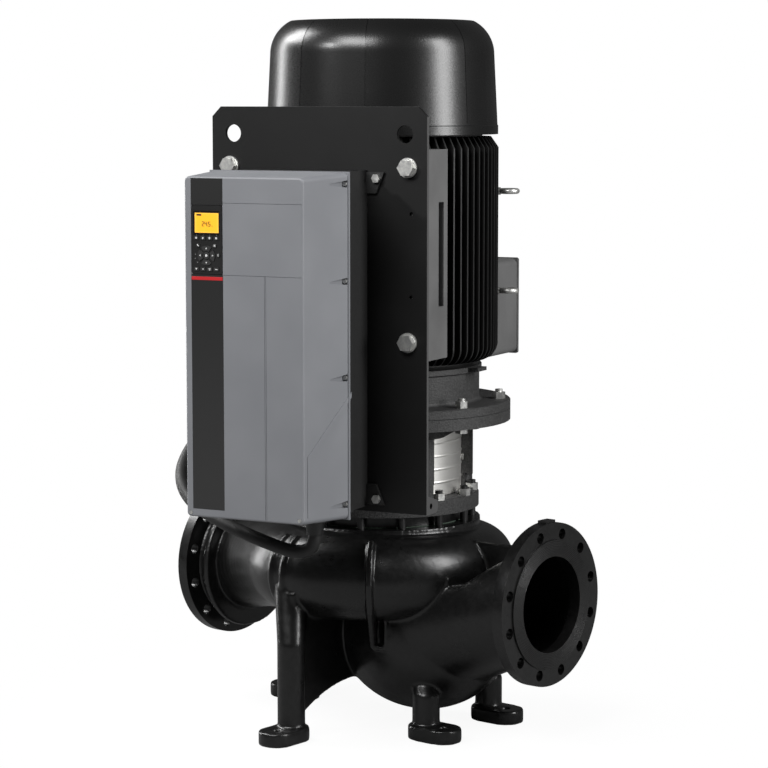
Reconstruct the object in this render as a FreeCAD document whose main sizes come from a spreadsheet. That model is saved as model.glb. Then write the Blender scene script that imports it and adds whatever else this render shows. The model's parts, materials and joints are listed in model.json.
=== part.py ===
import FreeCAD, Part
import math
import os
import Sketcher
from FreeCAD import Placement, Rotation, Vector

# In-line circulation pump with a vertical motor and a frequency drive on a mounting plate.
# Millimetres, +Z up. The origin is where the shaft axis meets the floor under the feet.
# +X runs along the pipe axis towards the suction flange. The drive faces -Y.
# The motor unit is turned about the shaft by half a pitch of the studs that hold its stool.

SIZES = (
    ("port_length", 900, "face to face over both pipe flanges"),
    ("axis_height", 297, "pipe axis above the floor"),
    ("flange_radius", 170, "pipe flange, outside"),
    ("flange_thick", 25, "pipe flange, without its raised face"),
    ("flange_bore", 100, "bore of both ports, radius"),
    ("raised_radius", 134, "raised sealing face, radius"),
    ("raised_height", 3, "raised sealing face, height"),
    ("flange_pitch", 147.5, "pitch circle radius of the pipe bolts"),
    ("suction_hole", 11.5, "suction flange's bolt holes, radius"),
    ("outlet_hole", 11.25, "outlet flange's bolt holes, radius"),
    ("flange_holes", 12, "pipe bolt holes in each flange"),
    ("collar_radius", 150, "collar behind the outlet flange"),
    ("collar_thick", 15, "collar thickness"),
    ("collar_back", 44, "from the outlet flange's back to the collar's front face"),
    ("casing_wall", 12, "cast wall"),
    ("volute_height", 340, "middle plane of the volute above the floor"),
    ("volute_pitch", 205, "distance of the volute tube's centre from the shaft"),
    ("volute_radius", 94, "volute tube radius at its outlet end, outside"),
    ("volute_tail", 66, "volute tube radius at its tongue end, outside"),
    ("duct_pull", 330, "how strongly the outlet duct keeps its heading"),
    ("duct_end", 114, "outlet duct radius at its flange, outside"),
    ("bowl_reach", 115, "suction bowl's centre from the shaft"),
    ("bowl_height", 206, "suction bowl's centre above the floor"),
    ("bowl_radius", 166, "suction bowl, half its width across the pipe axis"),
    ("bowl_length", 200, "suction bowl, half its length along the pipe axis"),
    ("bowl_depth", 173, "suction bowl, half its height"),
    ("shelf_height", 327, "flat shelf of the suction duct beside the volute"),
    ("shelf_end", 290, "where the duct rises from its shelf towards the flange"),
    ("duct_radius", 118, "suction duct radius at its flange, outside"),
    ("throat_radius", 125, "throat under the volute, outside radius"),
    ("throat_height", 235, "centre of the throat's round underside"),
    ("joint_radius", 211, "rim of the housing's top joint"),
    ("joint_height", 438, "top face of the housing"),
    ("joint_rim", 14, "height of the joint's rim"),
    ("chamber_radius", 162, "impeller chamber and cover spigot bore"),
    ("chamber_floor", 288, "floor of the impeller chamber"),
    ("rib_height", 9, "how far the ribs stand proud of the volute"),
    ("rib_thick", 14, "rib thickness"),
    ("web_thick", 16, "webs between casing, legs and flange"),
    ("column_radius", 29, "leg radius"),
    ("pad_radius", 38, "foot pad, end radius"),
    ("pad_height", 30, "foot pad, height"),
    ("toe_reach", 46, "from a leg's centre to its bolt hole"),
    ("foot_hole", 9, "foot bolt hole, radius"),
    ("front_leg", 300, "front leg from the shaft"),
    ("left_leg", 229, "leg under the outlet duct from the shaft"),
    ("right_leg", 207, "legs under the suction duct from the shaft"),
    ("right_gap", 109, "legs under the suction duct from the middle plane"),
    ("right_leg_knee", 95, "where the legs under the suction duct start to lean into the bowl"),
    ("front_leg_knee", 205, "where the front leg starts to lean into the volute"),
    ("gasket_thick", 2, "cover gasket"),
    ("cover_radius", 178, "pump cover, outside"),
    ("cover_top", 464, "top face of the pump cover"),
    ("shaft_radius", 22, "pump shaft"),
    ("shaft_bottom", 300, "lower end of the pump shaft"),
    ("shaft_joint", 576, "where pump shaft and motor shaft meet"),
    ("impeller_radius", 155, "impeller, outside"),
    ("eye_radius", 80, "impeller eye neck, outside"),
    ("running_gap", 0.3, "gap round the turning parts in the pump"),
    ("fit_gap", 0.05, "radial clearance of shafts in their seats"),
    ("stud_count", 14, "studs between housing and stool"),
    ("stud_radius", 8, "stud shank"),
    ("stud_circle", 193, "radius of the stud circle"),
    ("stud_top", 515, "tips of the studs"),
    ("nut_width", 24, "across the flats of stud and flange nuts"),
    ("nut_height", 14, "height of stud and flange nuts"),
    ("stool_base", 208, "lower flange of the stool, radius"),
    ("stool_floor", 494, "top of the stool's lower flange"),
    ("stool_bore", 150, "bore of the stool's lower flange"),
    ("cheek_outer", 195, "stool cheeks, outside radius"),
    ("cheek_inner", 171, "stool cheeks, inside radius"),
    ("window_back", 81, "stool windows, rear edge from the middle plane"),
    ("window_front", 97, "stool windows, front edge from the middle plane"),
    ("window_top", 640, "upper edge of the stool windows"),
    ("motor_flange", 275, "motor flange and stool top, radius"),
    ("stool_top", 650, "underside of the stool's top flange"),
    ("split_height", 674, "joint between stool and motor"),
    ("motor_face", 693, "upper face of the motor flange"),
    ("motor_circle", 250, "radius of the motor flange's bolt circle"),
    ("motor_bolts", 8, "bolts in the motor flange"),
    ("spigot_radius", 174.8, "motor spigot in the stool"),
    ("neck_radius", 208, "drive-end shield's neck, outside"),
    ("frame_base", 769, "lower end of the motor frame"),
    ("frame_top", 1252, "upper end of the motor frame"),
    ("frame_radius", 212, "motor frame between its fins"),
    ("frame_bore", 196, "motor frame, bore"),
    ("fin_tip", 247, "tips of the cooling fins"),
    ("fin_thick", 3.5, "cooling fin thickness"),
    ("fin_count", 80, "cooling fins round the frame"),
    ("fin_base", 779, "lower ends of the fins"),
    ("fin_top", 1251.5, "upper ends of the fins"),
    ("motor_shaft_radius", 30, "motor shaft in the coupling"),
    ("rotor_core", 45, "motor shaft under the rotor pack"),
    ("bearing_seat", 35, "shaft radius in the lower bearing"),
    ("bearing_outer", 65, "lower bearing, outside radius"),
    ("rear_seat", 32.5, "shaft radius in the upper bearing"),
    ("rear_bearing_outer", 60, "upper bearing, outside radius"),
    ("air_gap", 1, "between rotor and stator"),
    ("rotor_radius", 119, "rotor pack, outside"),
    ("pack_base", 860, "lower end of both iron packs"),
    ("pack_top", 1160, "upper end of both iron packs"),
    ("cap_rim", 1256, "lower edge of the fan cover"),
    ("cap_radius", 246, "fan cover at its rim, outside"),
    ("cap_shoulder", 237, "fan cover below its rounded top, outside"),
    ("cap_top", 1493, "top of the fan cover"),
    ("cap_rise", 70, "fan cover's rounded top edge, height"),
    ("cap_flat", 194, "flat top of the fan cover, radius"),
    ("cap_wall", 3, "fan cover wall"),
    ("fan_radius", 205, "fan over its blades"),
    ("fan_blades", 9, "blades of the fan"),
    ("box_base", 763, "underside of the terminal box"),
    ("box_height", 211, "terminal box, height"),
    ("box_half", 150, "terminal box, half width"),
    ("box_reach", 378, "terminal box's open face from the shaft"),
    ("lid_thick", 7, "terminal box lid"),
    ("plate_face", 294, "front face of the mounting plate from the shaft"),
    ("plate_thick", 8, "mounting plate"),
    ("plate_width", 490, "mounting plate, width"),
    ("plate_top", 1314.5, "upper edge of the mounting plate"),
    ("plate_bottom", 497, "lower edge of the mounting plate"),
    ("plate_corner", 20, "cut corners of the mounting plate"),
    ("lift_hole", 18, "lifting holes in the plate, radius"),
    ("lift_reach", 196, "lifting holes from the middle plane"),
    ("lift_height", 1260, "lifting holes above the floor"),
    ("feet_width", 406, "between the bolts in the motor feet, across"),
    ("feet_length", 349, "between the bolts in the motor feet, along the shaft"),
    ("feet_middle", 1019, "middle of the motor feet above the floor"),
    ("feet_span", 421, "motor feet, length"),
    ("feet_half", 245, "outer sides of the motor feet from the middle plane"),
    ("feet_back", 198, "back edge of the motor feet from the shaft"),
    ("plate_bolt", 10, "bolts through plate and feet, shank radius"),
    ("drive_middle", 848, "middle of the drive above the floor"),
    ("drive_depth", 308, "drive's front from the mounting plate"),
    ("chassis_depth", 161, "back edge of the drive's cover from the plate"),
    ("chassis_half", 122, "drive chassis, half width"),
    ("sink_half", 112, "heat sink behind the chassis tray, half width"),
    ("sink_depth", 83, "heat sink, from the mounting plate"),
    ("channel_depth", 68, "air channels in the heat sink, depth"),
    ("cover_rim", 6, "drive cover, thickness of the rim at its back"),
    ("cover_half", 154, "drive cover's back edge, half width"),
    ("cover_front", 130, "drive cover's front edge, half width"),
    ("cover_rise", 340, "drive cover's back edge, half height"),
    ("front_rise", 333, "drive cover's front edge, half height"),
    ("panel_middle", 80.5, "middle of the control panel, left of the drive's middle"),
    ("panel_half", 34, "control panel, half width"),
    ("panel_bottom", 993, "lower edge of the control panel"),
    ("panel_top", 1125.5, "upper edge of the control panel"),
    ("panel_proud", 1.2, "control panel proud of the cover"),
    ("panel_deep", 16, "control panel's depth behind the cover's front"),
    ("key_proud", 1.6, "keys proud of the control panel"),
    ("key_gap", 0.3, "gap round each key"),
    ("key_well", 8, "depth of the key wells"),
    ("strip_half", 35.5, "dark strip on the drive's front, half width"),
    ("cable_radius", 13.5, "motor cable, outside radius"),
    ("gland_radius", 21, "cable gland over its nut"),
)

FLANGE_BEVEL = 1.5
VOLUTE_START = -35
VOLUTE_END = 247
VOLUTE_STEPS = 28
DUCT_STEPS = 7
SHELF_RISE = 38
COUPLING_LEVELS = (535, 562, 600, 628)
GUARD_SCREW_ANGLES = (62, 114, -62, -114)
GUARD_SCREW_LEVEL = 566
EYE_ANGLES = (116, -116)
EYE_LEVELS = (923, 1135)
EYE_BOSS = 15
EYE_SHANK = 8
EYE_DEPTH = 28
SEAM_TURN = 18
SEAM_WIDTH = 1.6
CAP_SCREW_TURN = 45
SINK_CHANNELS = 9
SIDE_SCREWS = (1166, 977, 788, 538)
SCOOP_DEPTH = 10.5
DISPLAY_SPAN = (1068, 1115)
KEY_ROWS = ((1062.6, "top"), (1002.4, "bottom"))
KEY_STEPS = (-22.4, -7.5, 7.4, 22.3)
RING_MIDDLE = 1028.8
ARROWS = (("up", 90), ("left", 180), ("down", 270), ("right", 0))
CABLE_ROUTE = (
    (63, -430, 466),
    (61, -430, 446),
    (45, -430, 431),
    (16, -431, 427),
    (-28, -431, 436),
    (-92, -429, 454),
    (-160, -421, 475),
    (-216, -403, 493),
    (-260, -381, 512),
    (-291, -355, 539),
    (-308, -322, 567),
    (-313, -281, 596),
    (-313, -230, 625),
    (-313, -165, 657),
    (-315, -90, 692),
    (-322, -5, 729),
    (-332, 75, 765),
    (-340, 140, 797),
    (-340, 196, 822),
    (-317, 251, 840),
    (-275, 293, 853),
    (-220, 316, 860),
    (-176, 316, 860),
)


class Size:
    """A number together with the expression by which the document works it out."""

    def __init__(self, value, text):
        self.value = float(value)
        self.text = text

    def __add__(self, other):
        return Size(self.value + number(other), f"({self.text} + {words(other)})")

    def __radd__(self, other):
        return Size(number(other) + self.value, f"({words(other)} + {self.text})")

    def __sub__(self, other):
        return Size(self.value - number(other), f"({self.text} - {words(other)})")

    def __rsub__(self, other):
        return Size(number(other) - self.value, f"({words(other)} - {self.text})")

    def __mul__(self, other):
        return Size(self.value * number(other), f"({self.text} * {words(other)})")

    def __rmul__(self, other):
        return Size(number(other) * self.value, f"({words(other)} * {self.text})")

    def __truediv__(self, other):
        return Size(self.value / number(other), f"({self.text} / {words(other)})")

    def __rtruediv__(self, other):
        return Size(number(other) / self.value, f"({words(other)} / {self.text})")

    def __neg__(self):
        return Size(-self.value, f"(-1 * {self.text})")


def number(item):
    return item.value if isinstance(item, Size) else float(item)


def words(item):
    return item.text if isinstance(item, Size) else f"({float(item)!r})"


def cosine(angle):
    return Size(math.cos(math.radians(number(angle))), f"cos({words(angle)})")


def sine(angle):
    return Size(math.sin(math.radians(number(angle))), f"sin({words(angle)})")


def tangent(angle):
    return Size(math.tan(math.radians(number(angle))), f"tan({words(angle)})")


def root(item):
    return Size(math.sqrt(number(item)), f"sqrt({words(item)})")


def make_sheet(document):
    """Writes the sizes to the sheet and returns them by name."""
    sheet = document.addObject("Spreadsheet::Sheet", "Sizes")
    by_name = {}
    for row, (name, value, note) in enumerate(SIZES, 1):
        sheet.set(f"A{row}", name)
        sheet.set(f"B{row}", str(value))
        sheet.set(f"C{row}", note)
        sheet.setAlias(f"B{row}", name)
        by_name[name] = Size(value, f"Sizes.{name}")
    document.recompute()
    return by_name


class Sizes:
    """Gives each size of the sheet by its name."""

    def __init__(self, document):
        self.__dict__.update(make_sheet(document))


doc = FreeCAD.newDocument("circulation_pump")
s = Sizes(doc)
pieces = []

FULL_TURN = 360
UPRIGHT = Rotation(Vector(1, 0, 0), 90)
ALONG_X = Rotation(Vector(0, 1, 0), 90)
FORWARD = Rotation(Vector(1, 0, 0), 90)
NO_TURN = Rotation()
motor_turn = FULL_TURN / 2 / s.stud_count
port_face = s.port_length / 2
flange_back = port_face - s.raised_height - s.flange_thick
bolt_top = s.motor_face + s.nut_height + 6
cover_back = s.plate_face + s.chassis_depth
cover_face = s.plate_face + s.drive_depth
panel_face = cover_face + s.panel_proud
cap_inset = s.cap_shoulder - s.cap_flat
cap_bend = (cap_inset * cap_inset + s.cap_rise * s.cap_rise) / 2 / cap_inset
cover_slope = (s.cover_half - s.cover_front) / (s.drive_depth - s.chassis_depth)
cover_lean = Size(math.degrees(math.atan(number(cover_slope))), f"atan({words(cover_slope)})")


def bind(thing, prop, item):
    """Ties a property of a document object to the sheet."""
    thing.setExpression(prop, words(item))


def place(thing, at=(0, 0, 0), rotation=NO_TURN):
    thing.Placement = Placement(Vector(*[number(item) for item in at]), rotation)
    for axis, item in zip("xyz", at):
        if isinstance(item, Size):
            bind(thing, f"Placement.Base.{axis}", item)
    return thing


def turned(thing):
    """Turns a piece of the motor unit about the shaft."""
    thing.Placement = Placement(Vector(), Rotation(Vector(0, 0, 1), 1))
    bind(thing, "Placement.Rotation.Angle", motor_turn)
    return thing


def keep(thing, name):
    """Names a sub-part and lists it for writing."""
    thing.Label = name
    pieces.append(thing)
    return thing


def primitive(kind, at=(0, 0, 0), rotation=NO_TURN, **sizes):
    thing = doc.addObject(f"Part::{kind}", kind.lower())
    for prop, item in sizes.items():
        bind(thing, prop, item)
    return place(thing, at, rotation)


def box(low, high):
    """A box between two corners."""
    spans = [top - bottom for bottom, top in zip(low, high)]
    return primitive("Box", low, Length=spans[0], Width=spans[1], Height=spans[2])


def cylinder(radius, height, at=(0, 0, 0), rotation=NO_TURN):
    return primitive("Cylinder", at, rotation, Radius=radius, Height=height)


def fuse(*parts):
    thing = doc.addObject("Part::MultiFuse", "joined")
    thing.Shapes = list(parts)
    return thing


def cut(base, *tools):
    thing = doc.addObject("Part::Cut", "remaining")
    thing.Base = base
    thing.Tool = tools[0] if len(tools) == 1 else fuse(*tools)
    return thing


def group(*parts):
    thing = doc.addObject("Part::Compound", "set")
    thing.Links = list(parts)
    return thing


def on_circle(radius, angle, height=0):
    """A point at an angle from -Y towards +X."""
    return (radius * sine(angle), -radius * cosine(angle), height)


def arc_between(before, here, radius):
    """An arc from one point to the next: a positive radius turns left on the way."""
    chord = here - before
    left = Vector(-chord.y, chord.x, 0).normalize()
    reach = math.sqrt(max(radius ** 2 - chord.Length ** 2 / 4, 0))
    centre = (before + here) / 2 + left * math.copysign(reach, radius)
    first, last = (before, here) if radius > 0 else (here, before)
    angles = [math.atan2(point.y - centre.y, point.x - centre.x) for point in (first, last)]
    if angles[1] < angles[0]:
        angles[1] += 2 * math.pi
    return Part.ArcOfCircle(Part.Circle(centre, Vector(0, 0, 1), abs(radius)), *angles)


def draw(sketch, outline):
    """Adds a closed outline. A corner is (x, y), or (x, y, radius) where an arc leads to it."""
    first = sketch.GeometryCount
    corners = [Vector(number(corner[0]), number(corner[1]), 0) for corner in outline]
    starts = []
    ends = []
    bound = []
    rules = []
    for index, corner in enumerate(outline):
        line = first + index
        before = corners[index - 1]
        here = corners[index]
        if len(corner) == 3:
            sketch.addGeometry(arc_between(before, here, number(corner[2])))
            leftward = number(corner[2]) > 0
            starts.append(1 if leftward else 2)
            ends.append(2 if leftward else 1)
            bound.append((len(rules), abs_size(corner[2])))
            rules.append(Sketcher.Constraint("Radius", line, abs(number(corner[2]))))
        else:
            sketch.addGeometry(Part.LineSegment(before, here))
            starts.append(1)
            ends.append(2)
    for index, corner in enumerate(outline):
        line = first + index
        after = first + (index + 1) % len(outline)
        rules.append(Sketcher.Constraint("Coincident", line, ends[index], after, starts[after - first]))
        for way, rule, axis in ((0, "DistanceX", -2), (1, "DistanceY", -1)):
            if number(corner[way]) == 0:
                rules.append(Sketcher.Constraint("PointOnObject", line, ends[index], axis))
            else:
                bound.append((len(rules), corner[way]))
                rules.append(Sketcher.Constraint(rule, -1, 1, line, ends[index], number(corner[way])))
    settle(sketch, rules, bound)


def abs_size(item):
    return -item if number(item) < 0 else item


def settle(sketch, rules, bound):
    """Adds constraints and ties those that hold a size to the sheet."""
    before = sketch.ConstraintCount
    sketch.addConstraint(rules)
    for index, item in bound:
        if isinstance(item, Size):
            bind(sketch, f"Constraints[{before + index}]", item)


def draw_circle(sketch, x, y, radius):
    line = sketch.GeometryCount
    sketch.addGeometry(Part.Circle(Vector(number(x), number(y), 0), Vector(0, 0, 1), number(radius)))
    rules = [Sketcher.Constraint("Radius", line, number(radius))]
    bound = [(0, radius)]
    for item, rule, axis in ((x, "DistanceX", -2), (y, "DistanceY", -1)):
        if number(item) == 0:
            rules.append(Sketcher.Constraint("PointOnObject", line, 3, axis))
        else:
            bound.append((len(rules), item))
            rules.append(Sketcher.Constraint(rule, -1, 1, line, 3, number(item)))
    settle(sketch, rules, bound)


def rectangle(left, bottom, right, top):
    return ((left, bottom), (right, bottom), (right, top), (left, top))


def hexagon(x, y, across):
    """A hexagon with its flats that far apart."""
    corner = across / 2 / cosine(30)
    return tuple((x + corner * cosine(60 * k), y + corner * sine(60 * k)) for k in range(6))


def plate(outline, thick, rotation=UPRIGHT, at=(0, 0, 0)):
    """A plate of an outline, with its thickness to both sides."""
    sketch = doc.addObject("Sketcher::SketchObject", "outline")
    draw(sketch, outline)
    place(sketch, at, rotation)
    thing = doc.addObject("Part::Extrusion", "plate")
    thing.Base = sketch
    thing.DirMode = "Normal"
    thing.Solid = True
    thing.Symmetric = True
    bind(thing, "LengthFwd", thick)
    return thing


def radial(angle):
    """Stands an outline of (radius, height) at an angle from -Y towards +X."""
    return Rotation(Vector(0, 0, 1), angle - 90).multiply(UPRIGHT)


class Piece:
    """A body whose sketches lie on its own origin planes."""

    def __init__(self, name):
        self.body = doc.addObject("PartDesign::Body", name)
        keep(self.body, name)

    def origin(self, role):
        return next(item for item in self.body.Origin.OriginFeatures if item.Role == role)

    def sketch(self, outlines, circles, plane, offset):
        sketch = self.body.newObject("Sketcher::SketchObject", "outline")
        sketch.AttachmentSupport = (self.origin(plane), [""])
        sketch.MapMode = "FlatFace"
        bind(sketch, "AttachmentOffset.Base.z", offset)
        for outline in outlines:
            draw(sketch, outline)
        for circle in circles:
            draw_circle(sketch, *circle)
        return sketch

    def grow(self, kind, sketch, **sizes):
        made = self.body.newObject(f"PartDesign::{kind}", kind.lower())
        made.Profile = sketch
        for prop, item in sizes.items():
            bind(made, prop, item)
        return made

    def spin(self, *outlines, kind="Revolution", angle=FULL_TURN):
        """Revolves outlines of (radius, height) about the shaft."""
        sketch = self.sketch(outlines, (), "XZ_Plane", 0)
        made = self.grow(kind, sketch, Angle=angle)
        made.ReferenceAxis = (sketch, ["V_Axis"])
        return made

    def pad(self, length, *outlines, circles=(), plane="XY_Plane", offset=0):
        sketch = self.sketch(outlines, circles, plane, offset)
        return self.grow("Pad", sketch, Length=length)

    def pocket(self, length, *outlines, circles=(), plane="XY_Plane", offset=0):
        """Cuts from the offset along the plane's normal."""
        sketch = self.sketch(outlines, circles, plane, offset)
        made = self.grow("Pocket", sketch, Length=length)
        made.Reversed = True
        return made

    def around(self, feature, count):
        """Repeats a feature round the shaft."""
        made = self.body.newObject("PartDesign::PolarPattern", "ring")
        made.Originals = [feature]
        made.Axis = (self.origin("Z_Axis"), [""])
        made.Angle = FULL_TURN
        bind(made, "Occurrences", count)
        self.body.Tip = made
        return made

    def mirror(self, features, role):
        made = self.body.newObject("PartDesign::Mirrored", "mirror")
        made.Originals = list(features)
        made.MirrorPlane = (self.origin(role), [""])
        self.body.Tip = made
        return made

    def fillet(self, radius, wanted):
        """Rounds the edges of the tip for which wanted is true."""
        doc.recompute()
        tip = self.body.Tip
        names = [f"Edge{index}" for index, edge in enumerate(tip.Shape.Edges, 1) if wanted(edge)]
        made = self.body.newObject("PartDesign::Fillet", "rounding")
        made.Base = (tip, names)
        bind(made, "Radius", radius)
        self.body.Tip = made
        return made


def ring(name, inner, outer, low, high):
    piece = Piece(name)
    piece.spin(((inner, low), (outer, low), (outer, high), (inner, high)))
    return piece


def bolt_holes(radius, circle, count, start, low, length):
    """Holes on a circle about the shaft."""
    holes = []
    for index in range(int(number(count))):
        at = on_circle(circle, start + index * FULL_TURN / count, low)
        holes.append(cylinder(radius, length, at))
    return holes


def circle_section(radius, at, heading):
    """A round section across a horizontal heading."""
    rotation = Rotation(Vector(0, 0, 1), heading).multiply(ALONG_X)
    return primitive("Circle", at, rotation, Radius=radius)


def duct_point(u):
    """A point of the outlet duct's centre line and its heading, from volute to flange."""
    start = on_circle(s.volute_pitch, VOLUTE_START, s.volute_height)
    end = (-flange_back, 0, s.axis_height)
    leave = (-math.cos(math.radians(VOLUTE_START)), -math.sin(math.radians(VOLUTE_START)), 0)
    arrive = (-1, 0, 0)
    weights = (2*u**3 - 3*u**2 + 1, u**3 - 2*u**2 + u, 3*u**2 - 2*u**3, u**3 - u**2)
    slopes = (6*u**2 - 6*u, 3*u**2 - 4*u + 1, 6*u - 6*u**2, 3*u**2 - 2*u)
    point = []
    course = []
    for axis in range(3):
        terms = (start[axis], s.duct_pull * leave[axis], end[axis], s.duct_pull * arrive[axis])
        point.append(sum((term * weight for term, weight in zip(terms, weights)), Size(0, "0")))
        course.append(sum(number(term) * slope for term, slope in zip(terms, slopes)))
    return point, math.degrees(math.atan2(-course[1], -course[0]))


def channel(inset):
    """The volute and its outlet duct as one loft, drawn in by an inset all round."""
    sections = []
    for step in range(VOLUTE_STEPS + 1):
        angle = VOLUTE_END + (VOLUTE_START - VOLUTE_END) * step / VOLUTE_STEPS
        share = max(angle, 0) / VOLUTE_END
        radius = s.volute_radius + (s.volute_tail - s.volute_radius) * share
        at = on_circle(s.volute_pitch, angle, s.volute_height)
        sections.append(circle_section(radius - inset, at, angle))
    for step in range(1, DUCT_STEPS + 1):
        u = step / DUCT_STEPS
        point, heading = duct_point(u)
        radius = s.volute_radius + (s.duct_end - s.volute_radius) * u
        sections.append(circle_section(radius - inset, point, heading))
    loft = doc.addObject("Part::Loft", "channel")
    loft.Sections = sections
    loft.Solid = True
    loft.Ruled = True
    return loft


def suction_hull(inset):
    """Bowl, suction duct and throat, drawn in by an inset all round."""
    bowl = primitive("Ellipsoid", (s.bowl_reach, 0, s.bowl_height), Radius1=s.bowl_depth - inset,
                     Radius2=s.bowl_length - inset, Radius3=s.bowl_radius - inset)
    mouth = circle_section(s.duct_radius - inset, (flange_back + 2, 0, s.axis_height), 0)
    heart = circle_section(s.bowl_radius - inset - 1, (s.bowl_reach, 0, s.bowl_height), 0)
    duct = doc.addObject("Part::Loft", "duct")
    duct.Sections = [heart, mouth]
    duct.Solid = True
    throat = primitive("Sphere", (0, 0, s.throat_height), Radius=s.throat_radius - inset)
    return fuse(bowl, cut(duct, above_shelf(inset)), throat)


def above_shelf(inset):
    """The space over the duct's flat shelf and over the slope from there to the flange."""
    shelf = s.shelf_height - inset
    knee = s.shelf_end + inset * tangent(SHELF_RISE / 2)
    far = shelf + (flange_back - knee) * tangent(SHELF_RISE)
    ceiling = 2 * s.joint_height
    outline = ((0, shelf), (knee, shelf), (flange_back, far), (flange_back, ceiling), (0, ceiling))
    return plate(outline, 3 * s.bowl_radius)


def pipe_flange(side):
    """A flange with its raised face; side is 1 on the suction end and -1 on the outlet end."""
    rotation = Rotation(Vector(0, 1, 0), 90 * side)
    back = (side * flange_back, 0, s.axis_height)
    front = (side * (port_face - s.raised_height), 0, s.axis_height)
    disc = cylinder(s.flange_radius, s.flange_thick, back, rotation)
    face = cylinder(s.raised_radius, s.raised_height, front, rotation)
    return [disc, face]


def pipe_holes(side):
    """Bolt holes that straddle the flange's upright middle line."""
    holes = []
    radius = s.suction_hole if side > 0 else s.outlet_hole
    rotation = Rotation(Vector(0, 1, 0), 90 * side)
    for index in range(int(number(s.flange_holes))):
        angle = (index + 0.5) * FULL_TURN / s.flange_holes
        across = s.flange_pitch * cosine(angle)
        up = s.axis_height + s.flange_pitch * sine(angle)
        at = (side * (flange_back - 10), across, up)
        holes.append(cylinder(radius, s.flange_thick * 2, at, rotation))
    bore_start = side * (flange_back - 1)
    holes.append(cylinder(s.flange_bore, s.port_length, (bore_start, 0, s.axis_height), rotation))
    return holes


def outlet_collar():
    """The stepped hub behind the outlet flange."""
    rotation = Rotation(Vector(0, 1, 0), -90)
    reach = flange_back - s.collar_back
    hub = cylinder(s.raised_radius - 6, s.collar_back + 2, (-reach, 0, s.axis_height), rotation)
    collar = cylinder(s.collar_radius, s.collar_thick, (-reach, 0, s.axis_height), rotation)
    return [hub, collar]


def foot(x, y, toe, top):
    """A leg on an oval pad; the toe points along a whole quarter turn."""
    way = (round(math.cos(math.radians(toe))), round(math.sin(math.radians(toe))))
    heel = cylinder(s.pad_radius, s.pad_height, (x, y, 0))
    tip = cylinder(s.pad_radius, s.pad_height, (x + s.toe_reach * way[0], y + s.toe_reach * way[1], 0))
    corner = (x + s.pad_radius * way[1], y - s.pad_radius * way[0], 0)
    rotation = Rotation(Vector(0, 0, 1), toe)
    middle = primitive("Box", corner, rotation, Length=s.toe_reach, Width=2 * s.pad_radius,
                       Height=s.pad_height)
    leg = cylinder(s.column_radius, top, (x, y, 0))
    return [heel, tip, middle, leg]


def leg_root(knee, high_spot, high_radius):
    """The upper end of a leg, which leans into the casing."""
    loft = doc.addObject("Part::Loft", "leg_root")
    loft.Sections = [
        primitive("Circle", knee, Radius=s.column_radius),
        primitive("Circle", high_spot, Radius=high_radius),
    ]
    loft.Solid = True
    return loft


def foot_bores():
    """Bolt holes through the toes of the four feet."""
    spots = (
        (s.right_leg + s.toe_reach, -s.right_gap),
        (s.right_leg + s.toe_reach, s.right_gap),
        (0, -s.front_leg - s.toe_reach),
        (-s.left_leg - s.toe_reach, 0),
    )
    return [cylinder(s.foot_hole, s.pad_height * 2, (x, y, -10)) for x, y in spots]


def rib_on_volute(angle, height, low, thick, high=60):
    """A rib that follows the volute's section, between angles above and below its middle."""
    reach = s.volute_radius + height
    start = (s.volute_pitch + reach * cosine(high), s.volute_height + reach * sine(high))
    middle = (s.volute_pitch + reach, s.volute_height, -reach)
    end = (s.volute_pitch + reach * cosine(low), s.volute_height - reach * sine(low), -reach)
    return plate(((s.volute_pitch, s.volute_height), start, middle, end), thick, radial(angle))


def front_web():
    """The web between the front leg and the bowl, arched along its lower edge."""
    outline = (
        (s.front_leg, s.pad_height),
        (s.throat_radius - 40, 100, 330),
        (s.throat_radius - 60, s.bowl_height),
        (s.throat_radius - 60, s.volute_height - 30),
        (s.front_leg, s.volute_height - 30),
    )
    return plate(outline, s.web_thick, radial(0))


def casing_ribs():
    """The ribs and webs that show on the casting."""
    keel = s.volute_pitch + 10
    spike = (
        (s.volute_pitch, s.volute_height),
        (s.volute_pitch + s.volute_radius + s.rib_height, s.volute_height),
        (s.volute_pitch + s.volute_radius - 4, s.volute_height - 60),
        (keel + 4, 192),
        (keel - 20, 192),
        (keel - 70, s.volute_height - 60),
    )
    loop = ((160, 189), (217, 189), (225, 204), (224, 262), (160, 262))
    web = (
        (s.volute_pitch, s.axis_height),
        (flange_back + 1, s.axis_height),
        (flange_back + 1, 410),
        (s.volute_pitch, 410),
    )
    tail_web = (
        (s.left_leg - 10, s.pad_height),
        (s.left_leg + 90, s.axis_height - 60),
        (s.left_leg + 90, s.axis_height),
        (s.left_leg - 90, s.axis_height),
    )
    return [
        rib_on_volute(34, s.rib_height, 20, s.rib_thick),
        plate(spike, s.rib_thick, radial(34)),
        plate(loop, 8, radial(41)),
        plate(rectangle(180, 186, 220, 195), 28, radial(37.5)),
        rib_on_volute(67, -4.5, 80, 5, 4),
        rib_on_volute(-5, s.rib_height - 3, 75, s.rib_thick - 4),
        rib_on_volute(-12, s.rib_height - 3, 75, s.rib_thick - 4),
        plate(web, s.web_thick, radial(90)),
        plate(tail_web, s.web_thick, radial(-90)),
        front_web(),
    ]


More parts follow.
